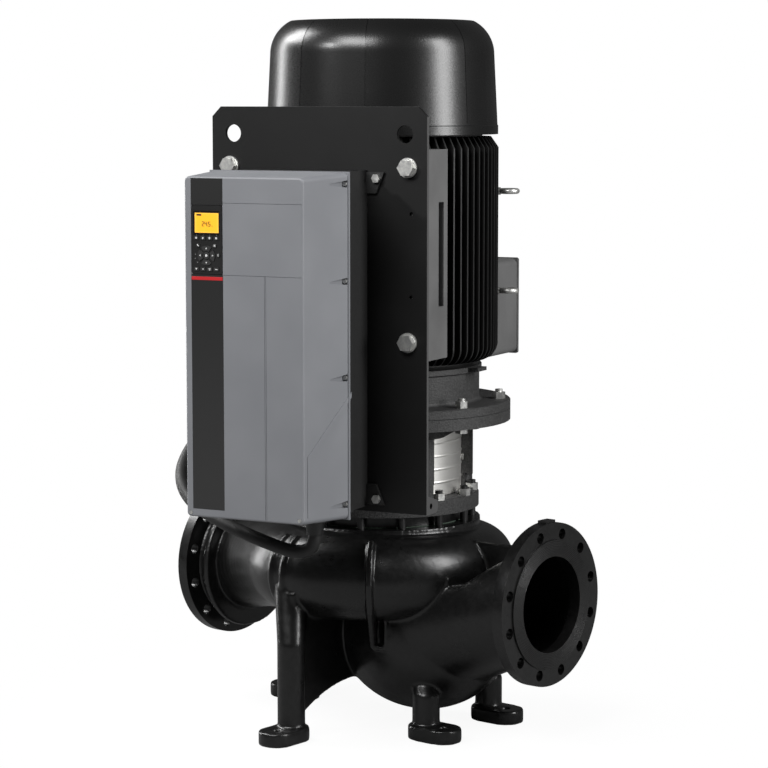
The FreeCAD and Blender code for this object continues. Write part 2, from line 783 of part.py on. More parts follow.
def pump_housing():
    """The cast housing: suction hull, volute with its duct, flanges, legs and ribs, all hollow."""
    knee = s.front_leg_knee
    legs = foot(0, -s.front_leg, -90, knee)
    legs.append(leg_root((0, -s.front_leg, knee), (-36, -s.front_leg + 42, s.volute_height), 36))
    legs += foot(-s.left_leg, 0, 180, s.axis_height)
    knee = s.right_leg_knee
    for side in (-1, 1):
        legs += foot(s.right_leg, side * s.right_gap, 0, knee)
        root_end = (s.right_leg - 42, side * (s.right_gap - 34), knee + 70)
        legs.append(leg_root((s.right_leg, side * s.right_gap, knee), root_end, 22))
    neck_start = flange_back + 1
    neck = primitive("Cone", (neck_start, 0, s.axis_height), Rotation(Vector(0, 1, 0), -90),
                     Radius1=s.duct_radius + 14, Radius2=s.duct_radius - 1, Height=s.collar_back / 2)
    pad = box((flange_back + 2, -16, s.axis_height + s.flange_radius - 6),
              (flange_back + s.flange_thick - 2, 16, s.axis_height + s.flange_radius + 5))
    outside = fuse(suction_hull(0), neck, pad, *legs, *casing_ribs(), *pipe_flange(1))
    shell = cut(outside, suction_hull(s.casing_wall))
    floor = s.chamber_floor - s.casing_wall
    wall = s.chamber_radius + 2 * s.casing_wall
    chamber = cylinder(wall, s.joint_height - floor, (0, 0, floor))
    rim = cylinder(s.joint_radius, s.joint_rim, (0, 0, s.joint_height - s.joint_rim))
    whole = fuse(shell, channel(0), chamber, rim, *pipe_flange(-1), *outlet_collar())
    well = cylinder(s.chamber_radius, s.joint_height, (0, 0, s.chamber_floor))
    eye = cylinder(s.eye_radius + 8, s.chamber_floor, (0, 0, s.chamber_floor - 30))
    studs = bolt_holes(s.stud_radius + s.fit_gap, s.stud_circle, s.stud_count, 0, s.joint_height - 16, 30)
    drain = cylinder(8.3, 40, (s.bowl_reach, 0, s.bowl_height - s.bowl_depth - 20))
    body = cut(whole, channel(s.casing_wall), well, eye, drain, *studs, *foot_bores(),
               *pipe_holes(1), *pipe_holes(-1))
    return keep(body, "pump_housing")


def cover_gasket():
    return ring("cover_gasket", s.chamber_radius + 1, s.cover_radius - 0.5, s.joint_height,
                s.joint_height + s.gasket_thick)


def pump_cover():
    """The cover with the seal chamber under its hub."""
    low = s.joint_height + s.gasket_thick
    outline = (
        (s.shaft_radius + 3, 452),
        (40, 452),
        (40, 398),
        (54, 398),
        (66, 430),
        (s.chamber_radius - 14, 430),
        (s.chamber_radius - 14, 412),
        (s.chamber_radius - s.running_gap, 412),
        (s.chamber_radius - s.running_gap, low),
        (s.cover_radius, low),
        (s.cover_radius, s.cover_top),
        (70, s.cover_top),
        (56, 500),
        (s.shaft_radius + 3, 500),
    )
    cover = Piece("pump_cover")
    cover.spin(outline)
    vent = cover.pocket(20, circles=((0, -120, 8.3),), offset=s.cover_top - 16)
    return vent


def wear_ring():
    return ring("wear_ring", s.eye_radius + s.running_gap, s.eye_radius + 8 - s.fit_gap,
                s.chamber_floor - s.casing_wall, s.chamber_floor + 6)


def impeller():
    """A closed impeller with six backward-curved blades between its shrouds."""
    wheel = Piece("impeller")
    bore = s.shaft_radius + s.fit_gap
    rim = s.impeller_radius
    neck = s.eye_radius
    wheel.spin((
        (bore, 322),
        (38, 322),
        (44, 360),
        (rim, 374),
        (rim, 380),
        (38, 382),
        (38, 394),
        (bore, 394),
    ))
    blade = wheel.pad(55, blade_outline(), offset=320)
    wheel.around(blade, 6)
    below = ((neck - 6, 316), (neck + 4, 322), (rim + 2, 343.5), (rim + 2, 318), (neck - 6, 314))
    wheel.spin(below, kind="Groove")
    wheel.spin((
        (neck - 6, 284),
        (neck, 284),
        (neck, 314),
        (rim, 338),
        (rim, 343),
        (neck + 4, 322),
        (neck - 6, 316),
    ))
    return wheel


def blade_outline():
    """A crescent that leaves the eye and trails off at the rim."""
    reach = s.impeller_radius - 1
    return (
        (46, 0),
        (reach * cosine(62), reach * sine(62), 118),
        (reach * cosine(66), reach * sine(66)),
        (41, 4, -112),
    )


def impeller_nut():
    nut = Piece("impeller_nut")
    nut.pad(20, hexagon(0, 0, 50), circles=((0, 0, s.shaft_radius - 4 + s.fit_gap),), offset=301.5)
    return nut


def pump_shaft():
    shaft = Piece("pump_shaft")
    shaft.spin((
        (0, s.shaft_bottom - 6),
        (s.shaft_radius - 6, s.shaft_bottom - 6),
        (s.shaft_radius - 4, s.shaft_bottom - 4),
        (s.shaft_radius - 4, 321.6),
        (s.shaft_radius, 321.6),
        (s.shaft_radius, s.shaft_joint - 2),
        (s.shaft_radius - 2, s.shaft_joint),
        (0, s.shaft_joint),
    ))
    return shaft


def seal_rotor():
    """The turning half of the shaft seal with its carrier."""
    return Piece("seal_rotor").spin((
        (s.shaft_radius + s.fit_gap, 396),
        (30, 396),
        (35, 404),
        (35, 428),
        (31, 428),
        (31, 439.7),
        (s.shaft_radius + s.fit_gap, 439.7),
    ))


def seal_seat():
    return ring("seal_seat", s.shaft_radius + 2, 40 - s.fit_gap, 440, 451.9)


def motor_stool():
    """The stool that carries the motor, with two windows to the coupling."""
    stool = Piece("motor_stool")
    stool.spin((
        (s.stool_bore, s.cover_top),
        (s.stool_base, s.cover_top),
        (s.stool_base, s.stool_floor - 3),
        (s.stool_base - 3, s.stool_floor),
        (s.cheek_outer + 2, s.stool_floor),
        (s.cheek_outer, s.stool_floor + 6),
        (s.cheek_outer, s.stool_top - 26),
        (s.cheek_outer + 30, s.stool_top, 30),
        (s.motor_flange, s.stool_top),
        (s.motor_flange, s.split_height - FLANGE_BEVEL),
        (s.motor_flange - FLANGE_BEVEL, s.split_height),
        (s.spigot_radius + 0.2, s.split_height),
        (s.spigot_radius + 0.2, s.split_height - 8),
        (s.cheek_inner, s.split_height - 8),
        (s.cheek_inner, s.stool_floor),
        (s.stool_bore, s.stool_floor),
    ))
    low = s.stool_floor + 3
    front = -s.window_front
    back = s.window_back
    corner = 22
    window = (
        (front + corner, low),
        (back - corner, low),
        (back, low + corner, corner),
        (back, s.window_top - corner),
        (back - corner, s.window_top, corner),
        (front + corner, s.window_top),
        (front, s.window_top - corner, corner),
        (front, low + corner),
    )
    ordered = window[1:] + (window[0] + (corner,),)
    stool.pocket(2 * s.motor_flange, ordered, plane="YZ_Plane", offset=-s.motor_flange)
    recess = cheek_recess(stool)
    stool.mirror([recess], "XZ_Plane")
    hole_depth = s.stool_floor - s.cover_top + 20
    hole = stool.pocket(hole_depth, circles=(stud_spot(s.stud_radius + 1),), offset=s.cover_top - 10)
    stool.around(hole, s.stud_count)
    well = stool.pocket(34, circles=(stud_spot(15.5),), offset=s.stool_floor)
    stool.around(well, s.stud_count)
    bolt = stool.pocket(60, circles=(motor_bolt_spot(s.stud_radius + 1),), offset=s.stool_top - 20)
    stool.around(bolt, s.motor_bolts)
    turned(stool.body)
    return stool


def cheek_recess(stool):
    """A shallow cast panel on the outside of a cheek."""
    outline = rectangle(-62, s.stool_floor + 34, 62, s.window_top - 18)
    return stool.pocket(s.motor_flange, outline, plane="XZ_Plane", offset=s.cheek_outer - 3)


def stud_spot(radius):
    """The first stud hole, half a pitch from the turned unit's middle plane."""
    x, y, height = on_circle(s.stud_circle, motor_turn)
    return (x, y, radius)


def motor_bolt_spot(radius):
    x, y, height = on_circle(s.motor_circle, FULL_TURN / 2 / s.motor_bolts)
    return (x, y, radius)


def stool_studs():
    studs = Piece("stool_studs")
    low = s.joint_height - 15.7
    stud = studs.pad(s.stud_top - low, circles=(stud_spot(s.stud_radius),), offset=low)
    studs.around(stud, s.stud_count)
    turned(studs.body)
    return studs


def stool_nuts():
    nuts = Piece("stool_nuts")
    x, y, hole = stud_spot(s.stud_radius + s.fit_gap)
    nut = nuts.pad(s.nut_height, hexagon(x, y, s.nut_width), circles=((x, y, hole),), offset=s.stool_floor)
    nuts.around(nut, s.stud_count)
    turned(nuts.body)
    return nuts


def coupling_halves():
    """A clamp coupling split along its length, with pockets for its screws."""
    halves = Piece("coupling_halves")
    step = s.shaft_joint + 1
    halves.spin((
        (s.shaft_radius + s.fit_gap, 516),
        (60, 516),
        (63, 519),
        (63, 643),
        (60, 646),
        (s.motor_shaft_radius + s.fit_gap, 646),
        (s.motor_shaft_radius + s.fit_gap, step),
        (s.shaft_radius + s.fit_gap, step),
    ))
    halves.pocket(130, rectangle(-70, -2, 70, 2), offset=516)
    for level in COUPLING_LEVELS:
        for side in (-1, 1):
            halves.pocket(140, circles=((side * 47, level, 6.4),), plane="XZ_Plane", offset=-70)
            halves.pocket(50, circles=((side * 47, level, 11),), plane="XZ_Plane", offset=24)
            halves.pocket(50, circles=((side * 47, level, 11),), plane="XZ_Plane", offset=-74)
    turned(halves.body)
    return halves


def coupling_screws():
    """Screws across the coupling, with a hexagon socket in each round head."""
    screws = Piece("coupling_screws")
    for level in COUPLING_LEVELS:
        for side in (-1, 1):
            across = side * 47
            head = ((across, level, 9),)
            screws.pad(50, circles=((across, level, 6),), plane="XZ_Plane", offset=-26)
            screws.pad(12, hexagon(across, level, 8), circles=head, plane="XZ_Plane", offset=24)
            screws.pad(9, hexagon(across, level, 18), plane="XZ_Plane", offset=-33)
    turned(screws.body)
    return screws


def coupling_guards():
    """Curved steel sheets behind the windows, with four pressed beads each."""
    guards = Piece("coupling_guards")
    outer = s.cheek_inner - 0.3
    low = s.stool_floor + 4
    high = s.window_top - 2
    beads = []
    levels = [low + (high - low) * k / 5 for k in range(1, 5)]
    for level in levels:
        beads += [(outer - 1, level - 3), (outer + 0.2, level), (outer - 1, level + 3)]
    skin = ((outer - 2.5, low), (outer - 1, low), *beads, (outer - 1, high), (outer - 2.5, high))
    sheet = guards.spin(skin, angle=66)
    sheet.Midplane = True
    inset = 12
    fold = guards.pad(high - low - 2 * inset, rectangle(141.5, -94.6, 151, -92.4), offset=low + inset)
    guards.mirror([sheet, fold], "YZ_Plane")
    for angle in GUARD_SCREW_ANGLES:
        radial_round(guards, "Subtractive", 3.3, 20, s.cheek_inner - 12, angle, GUARD_SCREW_LEVEL)
    turned(guards.body)
    return guards


def guard_screws():
    parts = []
    for angle in GUARD_SCREW_ANGLES:
        rotation = Rotation(Vector(0, 0, 1), angle - 90).multiply(ALONG_X)
        head = cylinder(7, 4, on_circle(s.cheek_inner + 0.2, angle, GUARD_SCREW_LEVEL), rotation)
        shank = cylinder(3, 12, on_circle(s.cheek_inner - 9, angle, GUARD_SCREW_LEVEL), rotation)
        parts.append(fuse(head, shank))
    return keep(turned(group(*parts)), "guard_screws")


def screw_plugs():
    """The drain plug under the bowl and the vent plug in the cover."""
    drain_low = s.bowl_height - s.bowl_depth
    drain = plug(s.bowl_reach, 0, drain_low, -1)
    vent = plug(0, -120, s.cover_top, 1)
    return keep(group(drain, vent), "screw_plugs")


def plug(x, y, seat, way):
    """A hexagon plug with its head on a seat; way is 1 when the head points up."""
    sketch = doc.addObject("Sketcher::SketchObject", "outline")
    draw(sketch, hexagon(0, 0, 22))
    low = seat if way > 0 else seat - 10
    place(sketch, (x, y, low), NO_TURN)
    head = doc.addObject("Part::Extrusion", "head")
    head.Base = sketch
    head.DirMode = "Normal"
    head.Solid = True
    bind(head, "LengthFwd", 10)
    stem = cylinder(8, 14, (x, y, seat - 12 if way > 0 else seat - 2))
    return fuse(head, stem)


def motor_frame():
    """The finned tube of the motor."""
    frame = Piece("motor_frame")
    frame.spin((
        (s.frame_bore, s.frame_base),
        (s.frame_radius - 4, s.frame_base),
        (s.frame_radius, s.frame_base + 8),
        (s.frame_radius, s.frame_top - 4),
        (s.frame_radius - 4, s.frame_top),
        (s.frame_bore, s.frame_top),
    ))
    half = s.fin_thick / 2
    root = s.frame_radius - 3
    fin = frame.pad(s.fin_thick, (
        (root, s.fin_base),
        (s.fin_tip - 34, s.fin_base),
        (s.fin_tip, s.fin_base + 34, 36),
        (s.fin_tip, s.fin_top - 23),
        (s.fin_tip - 16, s.fin_top),
        (root, s.fin_top),
    ), plane="XZ_Plane", offset=-half)
    frame.around(fin, s.fin_count)
    base = rectangle(8 - s.box_half, s.box_base + 6, s.box_half - 8, s.box_base + s.box_height - 6)
    frame.pad(s.fin_tip - 198, base, plane="XZ_Plane", offset=-s.fin_tip)
    boss_start = s.frame_bore + 5
    hole_start = s.fin_tip - EYE_DEPTH
    for angle in EYE_ANGLES:
        for height in EYE_LEVELS:
            radial_round(frame, "Additive", EYE_BOSS, s.fin_tip - boss_start - 1, boss_start, angle, height)
            radial_round(frame, "Subtractive", EYE_SHANK + s.fit_gap, s.fin_tip, hole_start, angle, height)
    turned(frame.body)
    return frame


def radial_round(piece, kind, radius, length, start, angle, height):
    """Adds or cuts a round that points away from the shaft at an angle."""
    made = piece.body.newObject(f"PartDesign::{kind}Cylinder", "round")
    bind(made, "Radius", radius)
    bind(made, "Height", length)
    spot = on_circle(start, angle, height)
    rotation = Rotation(Vector(0, 0, 1), angle - 90).multiply(ALONG_X)
    made.AttachmentSupport = (piece.origin("XY_Plane"), [""])
    made.MapMode = "FlatFace"
    made.AttachmentOffset = Placement(Vector(*[number(item) for item in spot]), rotation)
    for axis, item in zip("xyz", spot):
        bind(made, f"AttachmentOffset.Base.{axis}", item)


def drive_end_shield():
    """The lower motor shield with its flange, neck and bearing seat."""
    shield = Piece("drive_end_shield")
    low = s.split_height - 6
    seat = s.bearing_outer + s.fit_gap
    shield.spin((
        (s.bearing_seat + 3, s.split_height),
        (s.spigot_radius - 14, s.split_height),
        (s.spigot_radius - 14, low),
        (s.spigot_radius, low),
        (s.spigot_radius, s.split_height),
        (s.motor_flange - FLANGE_BEVEL, s.split_height),
        (s.motor_flange, s.split_height + FLANGE_BEVEL),
        (s.motor_flange, s.motor_face - 2),
        (s.motor_flange - 2, s.motor_face),
        (s.neck_radius + 8, s.motor_face),
        (s.neck_radius, s.motor_face + 8, -8),
        (s.neck_radius, s.frame_base - 14),
        (s.neck_radius + 5, s.frame_base - 11),
        (s.neck_radius + 5, s.frame_base - 0.3),
        (s.frame_bore - 0.3, s.frame_base - 0.3),
        (s.frame_bore - 0.3, s.frame_base + 6),
        (s.neck_radius - 22, s.frame_base + 6),
        (s.neck_radius - 22, s.motor_face + 6),
        (s.bearing_outer + 20, s.motor_face + 6),
        (s.bearing_outer + 16, s.motor_face + 55),
        (seat, s.motor_face + 55),
        (seat, s.motor_face + 14),
        (s.bearing_seat + 3, s.motor_face + 14),
    ))
    bolt = shield.pocket(60, circles=(motor_bolt_spot(s.stud_radius + 1),), offset=s.split_height - 20)
    shield.around(bolt, s.motor_bolts)
    lug = rectangle(s.neck_radius - 6, s.frame_base - 8, s.neck_radius + 27, s.frame_base - 0.3)
    shield.around(shield.pad(44, lug, plane="XZ_Plane", offset=-22), 4)
    turned(shield.body)
    return shield


def rear_end_shield():
    """The upper motor shield with four lugs that carry the fan cover."""
    shield = Piece("rear_end_shield")
    seat = s.rear_bearing_outer + s.fit_gap
    shield.spin((
        (s.rear_seat + 2, s.frame_top + 0.3),
        (s.frame_bore - 14, s.frame_top + 0.3),
        (s.frame_bore - 14, s.frame_top - 8),
        (s.frame_bore - 0.3, s.frame_top - 8),
        (s.frame_bore - 0.3, s.frame_top + 0.3),
        (s.frame_radius, s.frame_top + 0.3),
        (s.frame_radius + 6, s.frame_top + 12),
        (90, s.frame_top + 20),
        (s.rear_bearing_outer + 12, s.frame_top + 48),
        (seat, s.frame_top + 48),
        (seat, s.frame_top + 10),
        (s.rear_seat + 2, s.frame_top + 10),
    ))
    lug_outer = s.cap_radius - s.cap_wall - 0.65
    lug = rectangle(s.frame_radius - 8, s.cap_rim - 1, lug_outer, s.cap_rim + 16)
    shield.around(shield.pad(26, lug, plane="XZ_Plane", offset=-13), 4)
    thread = 3 + s.fit_gap
    for index in range(4):
        angle = index * FULL_TURN / 4
        radial_round(shield, "Subtractive", thread, 20, s.cap_radius - 15, angle, s.cap_rim + 9)
    shield.body.Placement = Placement(Vector(), Rotation(Vector(0, 0, 1), 1))
    bind(shield.body, "Placement.Rotation.Angle", motor_turn + CAP_SCREW_TURN)
    return shield


def stator():
    """The laminated pack with its winding heads."""
    bore = s.rotor_radius + s.air_gap
    return turned(Piece("stator").spin((
        (bore, s.pack_base),
        (bore + 12, s.pack_base),
        (bore + 16, s.pack_base - 48),
        (bore + 50, s.pack_base - 48),
        (bore + 54, s.pack_base),
        (s.frame_bore - 0.3, s.pack_base),
        (s.frame_bore - 0.3, s.pack_top),
        (bore + 54, s.pack_top),
        (bore + 50, s.pack_top + 46),
        (bore + 16, s.pack_top + 46),
        (bore + 12, s.pack_top),
        (bore, s.pack_top),
    )))


def rotor():
    """The rotor pack with its end rings."""
    bore = s.rotor_core + s.fit_gap
    return Piece("rotor").spin((
        (bore, s.pack_base),
        (s.rotor_radius - 34, s.pack_base),
        (s.rotor_radius - 34, s.pack_base - 20),
        (s.rotor_radius - 6, s.pack_base - 20),
        (s.rotor_radius - 6, s.pack_base),
        (s.rotor_radius, s.pack_base),
        (s.rotor_radius, s.pack_top),
        (s.rotor_radius - 6, s.pack_top),
        (s.rotor_radius - 6, s.pack_top + 20),
        (s.rotor_radius - 34, s.pack_top + 20),
        (s.rotor_radius - 34, s.pack_top),
        (bore, s.pack_top),
    ))


def motor_shaft():
    low = s.motor_face + 14.5
    return Piece("motor_shaft").spin((
        (0, s.shaft_joint + 1.5),
        (s.motor_shaft_radius - 2, s.shaft_joint + 1.5),
        (s.motor_shaft_radius, s.shaft_joint + 3.5),
        (s.motor_shaft_radius, low - 20),
        (s.bearing_seat, low - 20),
        (s.bearing_seat, low + 38),
        (s.rotor_core, low + 38),
        (s.rotor_core, s.frame_top - 20),
        (s.rear_seat, s.frame_top - 20),
        (s.rear_seat, s.frame_top + 56),
        (25, s.frame_top + 56),
        (25, s.frame_top + 108),
        (23, s.frame_top + 110),
        (0, s.frame_top + 110),
    ))


def drive_end_bearing():
    low = s.motor_face + 14.3
    return ring("drive_end_bearing", s.bearing_seat + s.fit_gap, s.bearing_outer, low, low + 35)


def rear_bearing():
    low = s.frame_top + 10.3
    return ring("rear_bearing", s.rear_seat + s.fit_gap, s.rear_bearing_outer, low, low + 33)


def cooling_fan():
    """The fan on the shaft's upper end."""
    fan = Piece("cooling_fan")
    low = s.frame_top + 60
    fan.spin((
        (25 + s.fit_gap, low),
        (s.fan_radius - 20, low + 6),
        (s.fan_radius - 20, low + 10),
        (50, low + 6),
        (44, low + 46),
        (25 + s.fit_gap, low + 46),
    ))
    blade = fan.pad(5, (
        (42, low + 4),
        (s.fan_radius - 20, low + 8),
        (s.fan_radius, low + 30),
        (s.fan_radius, low + 84),
        (70, low + 84),
        (46, low + 44),
    ), plane="XZ_Plane", offset=-2.5)
    fan.around(blade, s.fan_blades)
    return fan


def fan_cover():
    """The tall cover over the fan, with eight seams and an air grille in its top."""
    cap = Piece("fan_cover")
    wall = s.cap_wall
    shoulder = s.cap_top - s.cap_rise
    band = s.cap_rim + 18
    inner_bend = cap_bend - wall
    inner_rise = s.cap_rise - wall
    inner_flat = s.cap_shoulder - cap_bend + root(inner_bend * inner_bend - inner_rise * inner_rise)
    cap.spin((
        (s.cap_radius - wall, s.cap_rim),
        (s.cap_radius, s.cap_rim),
        (s.cap_radius, band),
        (s.cap_radius - 1.5, band + 1.5),
        (s.cap_shoulder, shoulder),
        (s.cap_flat, s.cap_top, cap_bend),
        (0, s.cap_top),
        (0, s.cap_top - wall),
        (inner_flat, s.cap_top - wall),
        (s.cap_shoulder - wall, shoulder, -inner_bend),
        (s.cap_radius - 1.5 - wall, band + 1.5),
        (s.cap_radius - wall, band),
    ))
    slot = cap.pocket(20, rectangle(60, -4, 150, 4), offset=s.cap_top - 10)
    cap.around(slot, 30)
    for index in range(4):
        angle = CAP_SCREW_TURN + index * FULL_TURN / 4
        radial_round(cap, "Subtractive", 3.3, 30, s.cap_radius - 15, angle, s.cap_rim + 9)
    for angle in (-SEAM_TURN, SEAM_TURN):
        seam = cap.pocket(SEAM_WIDTH, seam_outline(band), plane="XZ_Plane")
        back = Vector(0, 0, -SEAM_WIDTH / 2)
        lean = Rotation(Vector(0, 1, 0), angle)
        seam.Profile[0].AttachmentOffset = Placement(lean.multVec(back), lean)
        seam.Profile[0].setExpression("AttachmentOffset.Base.z", None)
        cap.around(seam, 4)
    turned(cap.body)
    return cap


def seam_outline(band):
    """A thin skin over the cover's outline, from above its band to its top."""
    deep = 1
    over = 2
    shoulder = s.cap_top - s.cap_rise
    return (
        (s.cap_radius - 1.5 - deep, band + 6),
        (s.cap_radius + over, band + 6),
        (s.cap_shoulder + over, shoulder),
        (s.cap_flat + over, s.cap_top + over, cap_bend + over),
        (160, s.cap_top + over),
        (160, s.cap_top - deep),
        (s.cap_flat - deep, s.cap_top - deep),
        (s.cap_shoulder - deep, shoulder, -cap_bend),
    )


def bolt_set(name, shank, head_low, head, shank_low, shank_high):
    """Hexagon bolts on the motor flange's circle."""
    bolts = Piece(name)
    x, y, radius = motor_bolt_spot(shank)
    body = bolts.pad(shank_high - shank_low, circles=((x, y, radius),), offset=shank_low)
    bolts.around(body, s.motor_bolts)
    top = bolts.pad(head, hexagon(x, y, s.nut_width), offset=head_low)
    bolts.around(top, s.motor_bolts)
    x, y, hole = motor_bolt_spot(shank + s.fit_gap)
    rim = hexagon(x, y, s.nut_width)
    nut = bolts.pad(s.nut_height, rim, circles=((x, y, hole),), offset=s.motor_face)
    bolts.around(nut, s.motor_bolts)
    turned(bolts.body)
    return bolts


def flange_bolts():
    head = 10
    return bolt_set("flange_bolts", s.stud_radius, s.stool_top - head, head, s.stool_top - 2, bolt_top)


def fan_cover_screws():
    """Pan-head screws through the fan cover's rim into the lugs."""
    parts = []
    for index in range(4):
        angle = CAP_SCREW_TURN + index * FULL_TURN / 4
        rotation = Rotation(Vector(0, 0, 1), angle - 90).multiply(ALONG_X)
        head = cylinder(6.5, 3.5, on_circle(s.cap_radius + 0.1, angle, s.cap_rim + 9), rotation)
        shank = cylinder(3, 14, on_circle(s.cap_radius - 13, angle, s.cap_rim + 9), rotation)
        parts.append(fuse(head, shank))
    return keep(turned(group(*parts)), "fan_cover_screws")


def terminal_box():
    """The box at the motor's back, open to its lid."""
    case = Piece("terminal_box")
    depth = s.box_reach - s.fin_tip - 0.3
    top = s.box_base + s.box_height
    outside = rectangle(-s.box_half, s.box_base, s.box_half, top)
    case.pad(depth, outside, plane="XZ_Plane", offset=-s.box_reach)
    case.fillet(14, lambda edge: abs(edge.tangentAt(edge.FirstParameter).y) > 0.99)
    wall = 6
    inside = rectangle(wall - s.box_half, s.box_base + wall, s.box_half - wall, top - wall)
    case.pocket(depth - 12, inside, plane="XZ_Plane", offset=-s.box_reach)
    entry = (BOX_GLAND_DEPTH, BOX_GLAND_LEVEL, s.gland_radius - 4)
    case.pocket(30, circles=(entry,), plane="YZ_Plane", offset=-s.box_half - 5)
    turned(case.body)
    return case


BOX_GLAND_LEVEL = CABLE_ROUTE[-1][2]
BOX_GLAND_DEPTH = -CABLE_ROUTE[-1][1]


def terminal_box_lid():
    lid = Piece("terminal_box_lid")
    top = s.box_base + s.box_height
    outline = rectangle(-s.box_half - 2, s.box_base - 2, s.box_half + 2, top + 2)
    lid.pad(s.lid_thick, outline, plane="XZ_Plane", offset=-s.box_reach - s.lid_thick)
    lid.fillet(5, lambda edge: abs(edge.tangentAt(edge.FirstParameter).y) > 0.99)
    turned(lid.body)
    return lid


def lid_screws():
    screws = Piece("lid_screws")
    for x in (12 - s.box_half, s.box_half - 12):
        for height in (s.box_base + 12, s.box_base + s.box_height - 12):
            screws.pad(5, hexagon(x, height, 11), plane="XZ_Plane", offset=-s.box_reach - s.lid_thick - 5)
    turned(screws.body)
    return screws


def eye_bolts():
    """Four lifting eyes with level rings, two at each side of the frame."""
    parts = []
    for angle in EYE_ANGLES:
        for height in EYE_LEVELS:
            rotation = Rotation(Vector(0, 0, 1), angle - 90).multiply(ALONG_X)
            start = on_circle(s.fin_tip - EYE_DEPTH + 1, angle, height)
            shank = cylinder(EYE_SHANK, EYE_DEPTH + 4, start, rotation)
            eye = primitive("Torus", on_circle(s.fin_tip + 23, angle, height), Radius1=16.5, Radius2=6)
            parts.append(fuse(shank, eye))
    return parts


def build_eye_bolts():
    return keep(turned(group(*eye_bolts())), "eye_bolts")


def mounting_plate():
    """The plate that carries the drive, bolted to the motor feet."""
    sheet = Piece("mounting_plate")
    half = s.plate_width / 2
    front = s.plate_face - s.plate_thick
    corner = s.plate_corner
    sheet.pad(s.plate_thick, (
        (-half, s.plate_bottom),
        (half, s.plate_bottom),
        (half, s.plate_top - corner),
        (half - corner, s.plate_top),
        (corner - half, s.plate_top),
        (-half, s.plate_top - corner),
    ), plane="XZ_Plane", offset=front)
    holes = [(side * s.lift_reach, s.lift_height, s.lift_hole) for side in (-1, 1)]
    holes += [(x, height, s.plate_bolt + 1) for x, height in feet_spots()]
    holes += [(side * 210, height, 4) for side in (-1, 1) for height in (936, 1102)]
    sheet.pocket(40, circles=holes, plane="XZ_Plane", offset=front - 16)
    low = s.plate_bottom
    tip = -s.plate_face + 54
    bend = 10
    root_y = -front - 1
    tab = ((root_y, low), (tip - bend, low), (tip, low + bend, bend), (tip, low + 24), (root_y, low + 38))
    for left in (-half, half - s.plate_thick):
        sheet.pad(s.plate_thick, tab, plane="YZ_Plane", offset=left)
    sheet.pocket(s.plate_width + 20, circles=((-273, low + 16, 6),), plane="YZ_Plane", offset=-half - 10)
    turned(sheet.body)
    return sheet


def feet_spots():
    """The four bolts through the plate and the motor feet."""
    across = s.feet_width / 2
    along = s.feet_length / 2
    return [(side * across, s.feet_middle + up * along) for side in (-1, 1) for up in (-1, 1)]


def motor_feet():
    """Two cast feet between the frame and the plate, hollow behind and slotted outside."""
    feet = Piece("motor_feet")
    low = s.feet_middle - s.feet_span / 2
    high = s.feet_middle + s.feet_span / 2
    base = s.plate_face - s.plate_thick
    inner = 118
    depth = base - 150
    blocks = [rectangle(inner, low, s.feet_half, high), rectangle(-s.feet_half, low, -inner, high)]
    feet.pad(depth, *blocks, plane="XZ_Plane", offset=150)
    clear = s.fin_tip + 0.3
    feet.pocket(s.feet_span + 20, circles=((0, 0, clear),), offset=low - 10)
    trim = s.feet_half + 20
    wall = s.feet_half - 14
    for side in (-1, 1):
        corner = rectangle(side * trim, -s.feet_back, side * 140, -100)
        feet.pocket(s.feet_span + 20, corner, offset=low - 10)
        hollow = rectangle(side * wall, 5 - s.feet_back, side * 176, 26 - base)
        feet.pocket(s.feet_span - 32, hollow, offset=low + 16)
    slot = rectangle(-240, s.feet_middle - 105, -216, s.feet_middle + 105)
    feet.pocket(2 * s.feet_half + 20, slot, plane="YZ_Plane", offset=-s.feet_half - 10)
    holes = [(x, height, s.plate_bolt + 1) for x, height in feet_spots()]
    feet.pocket(60, circles=holes, plane="XZ_Plane", offset=base - 40)
    turned(feet.body)
    return feet


def plate_bolts():
    """Hexagon bolts with washers through the plate into the motor feet."""
    bolts = Piece("plate_bolts")
    washer = 4
    for x, height in feet_spots():
        bolts.pad(washer, circles=((x, height, 20),), plane="XZ_Plane", offset=s.plate_face)
        bolts.pad(13, hexagon(x, height, 30), plane="XZ_Plane", offset=s.plate_face + washer - 0.5)
        bolts.pad(48, circles=((x, height, s.plate_bolt),), plane="XZ_Plane", offset=s.plate_face - 46)
        bolts.pad(15, hexagon(x, height, 30), plane="XZ_Plane", offset=s.plate_face - s.plate_thick - 26 - 15)
    turned(bolts.body)
    return bolts


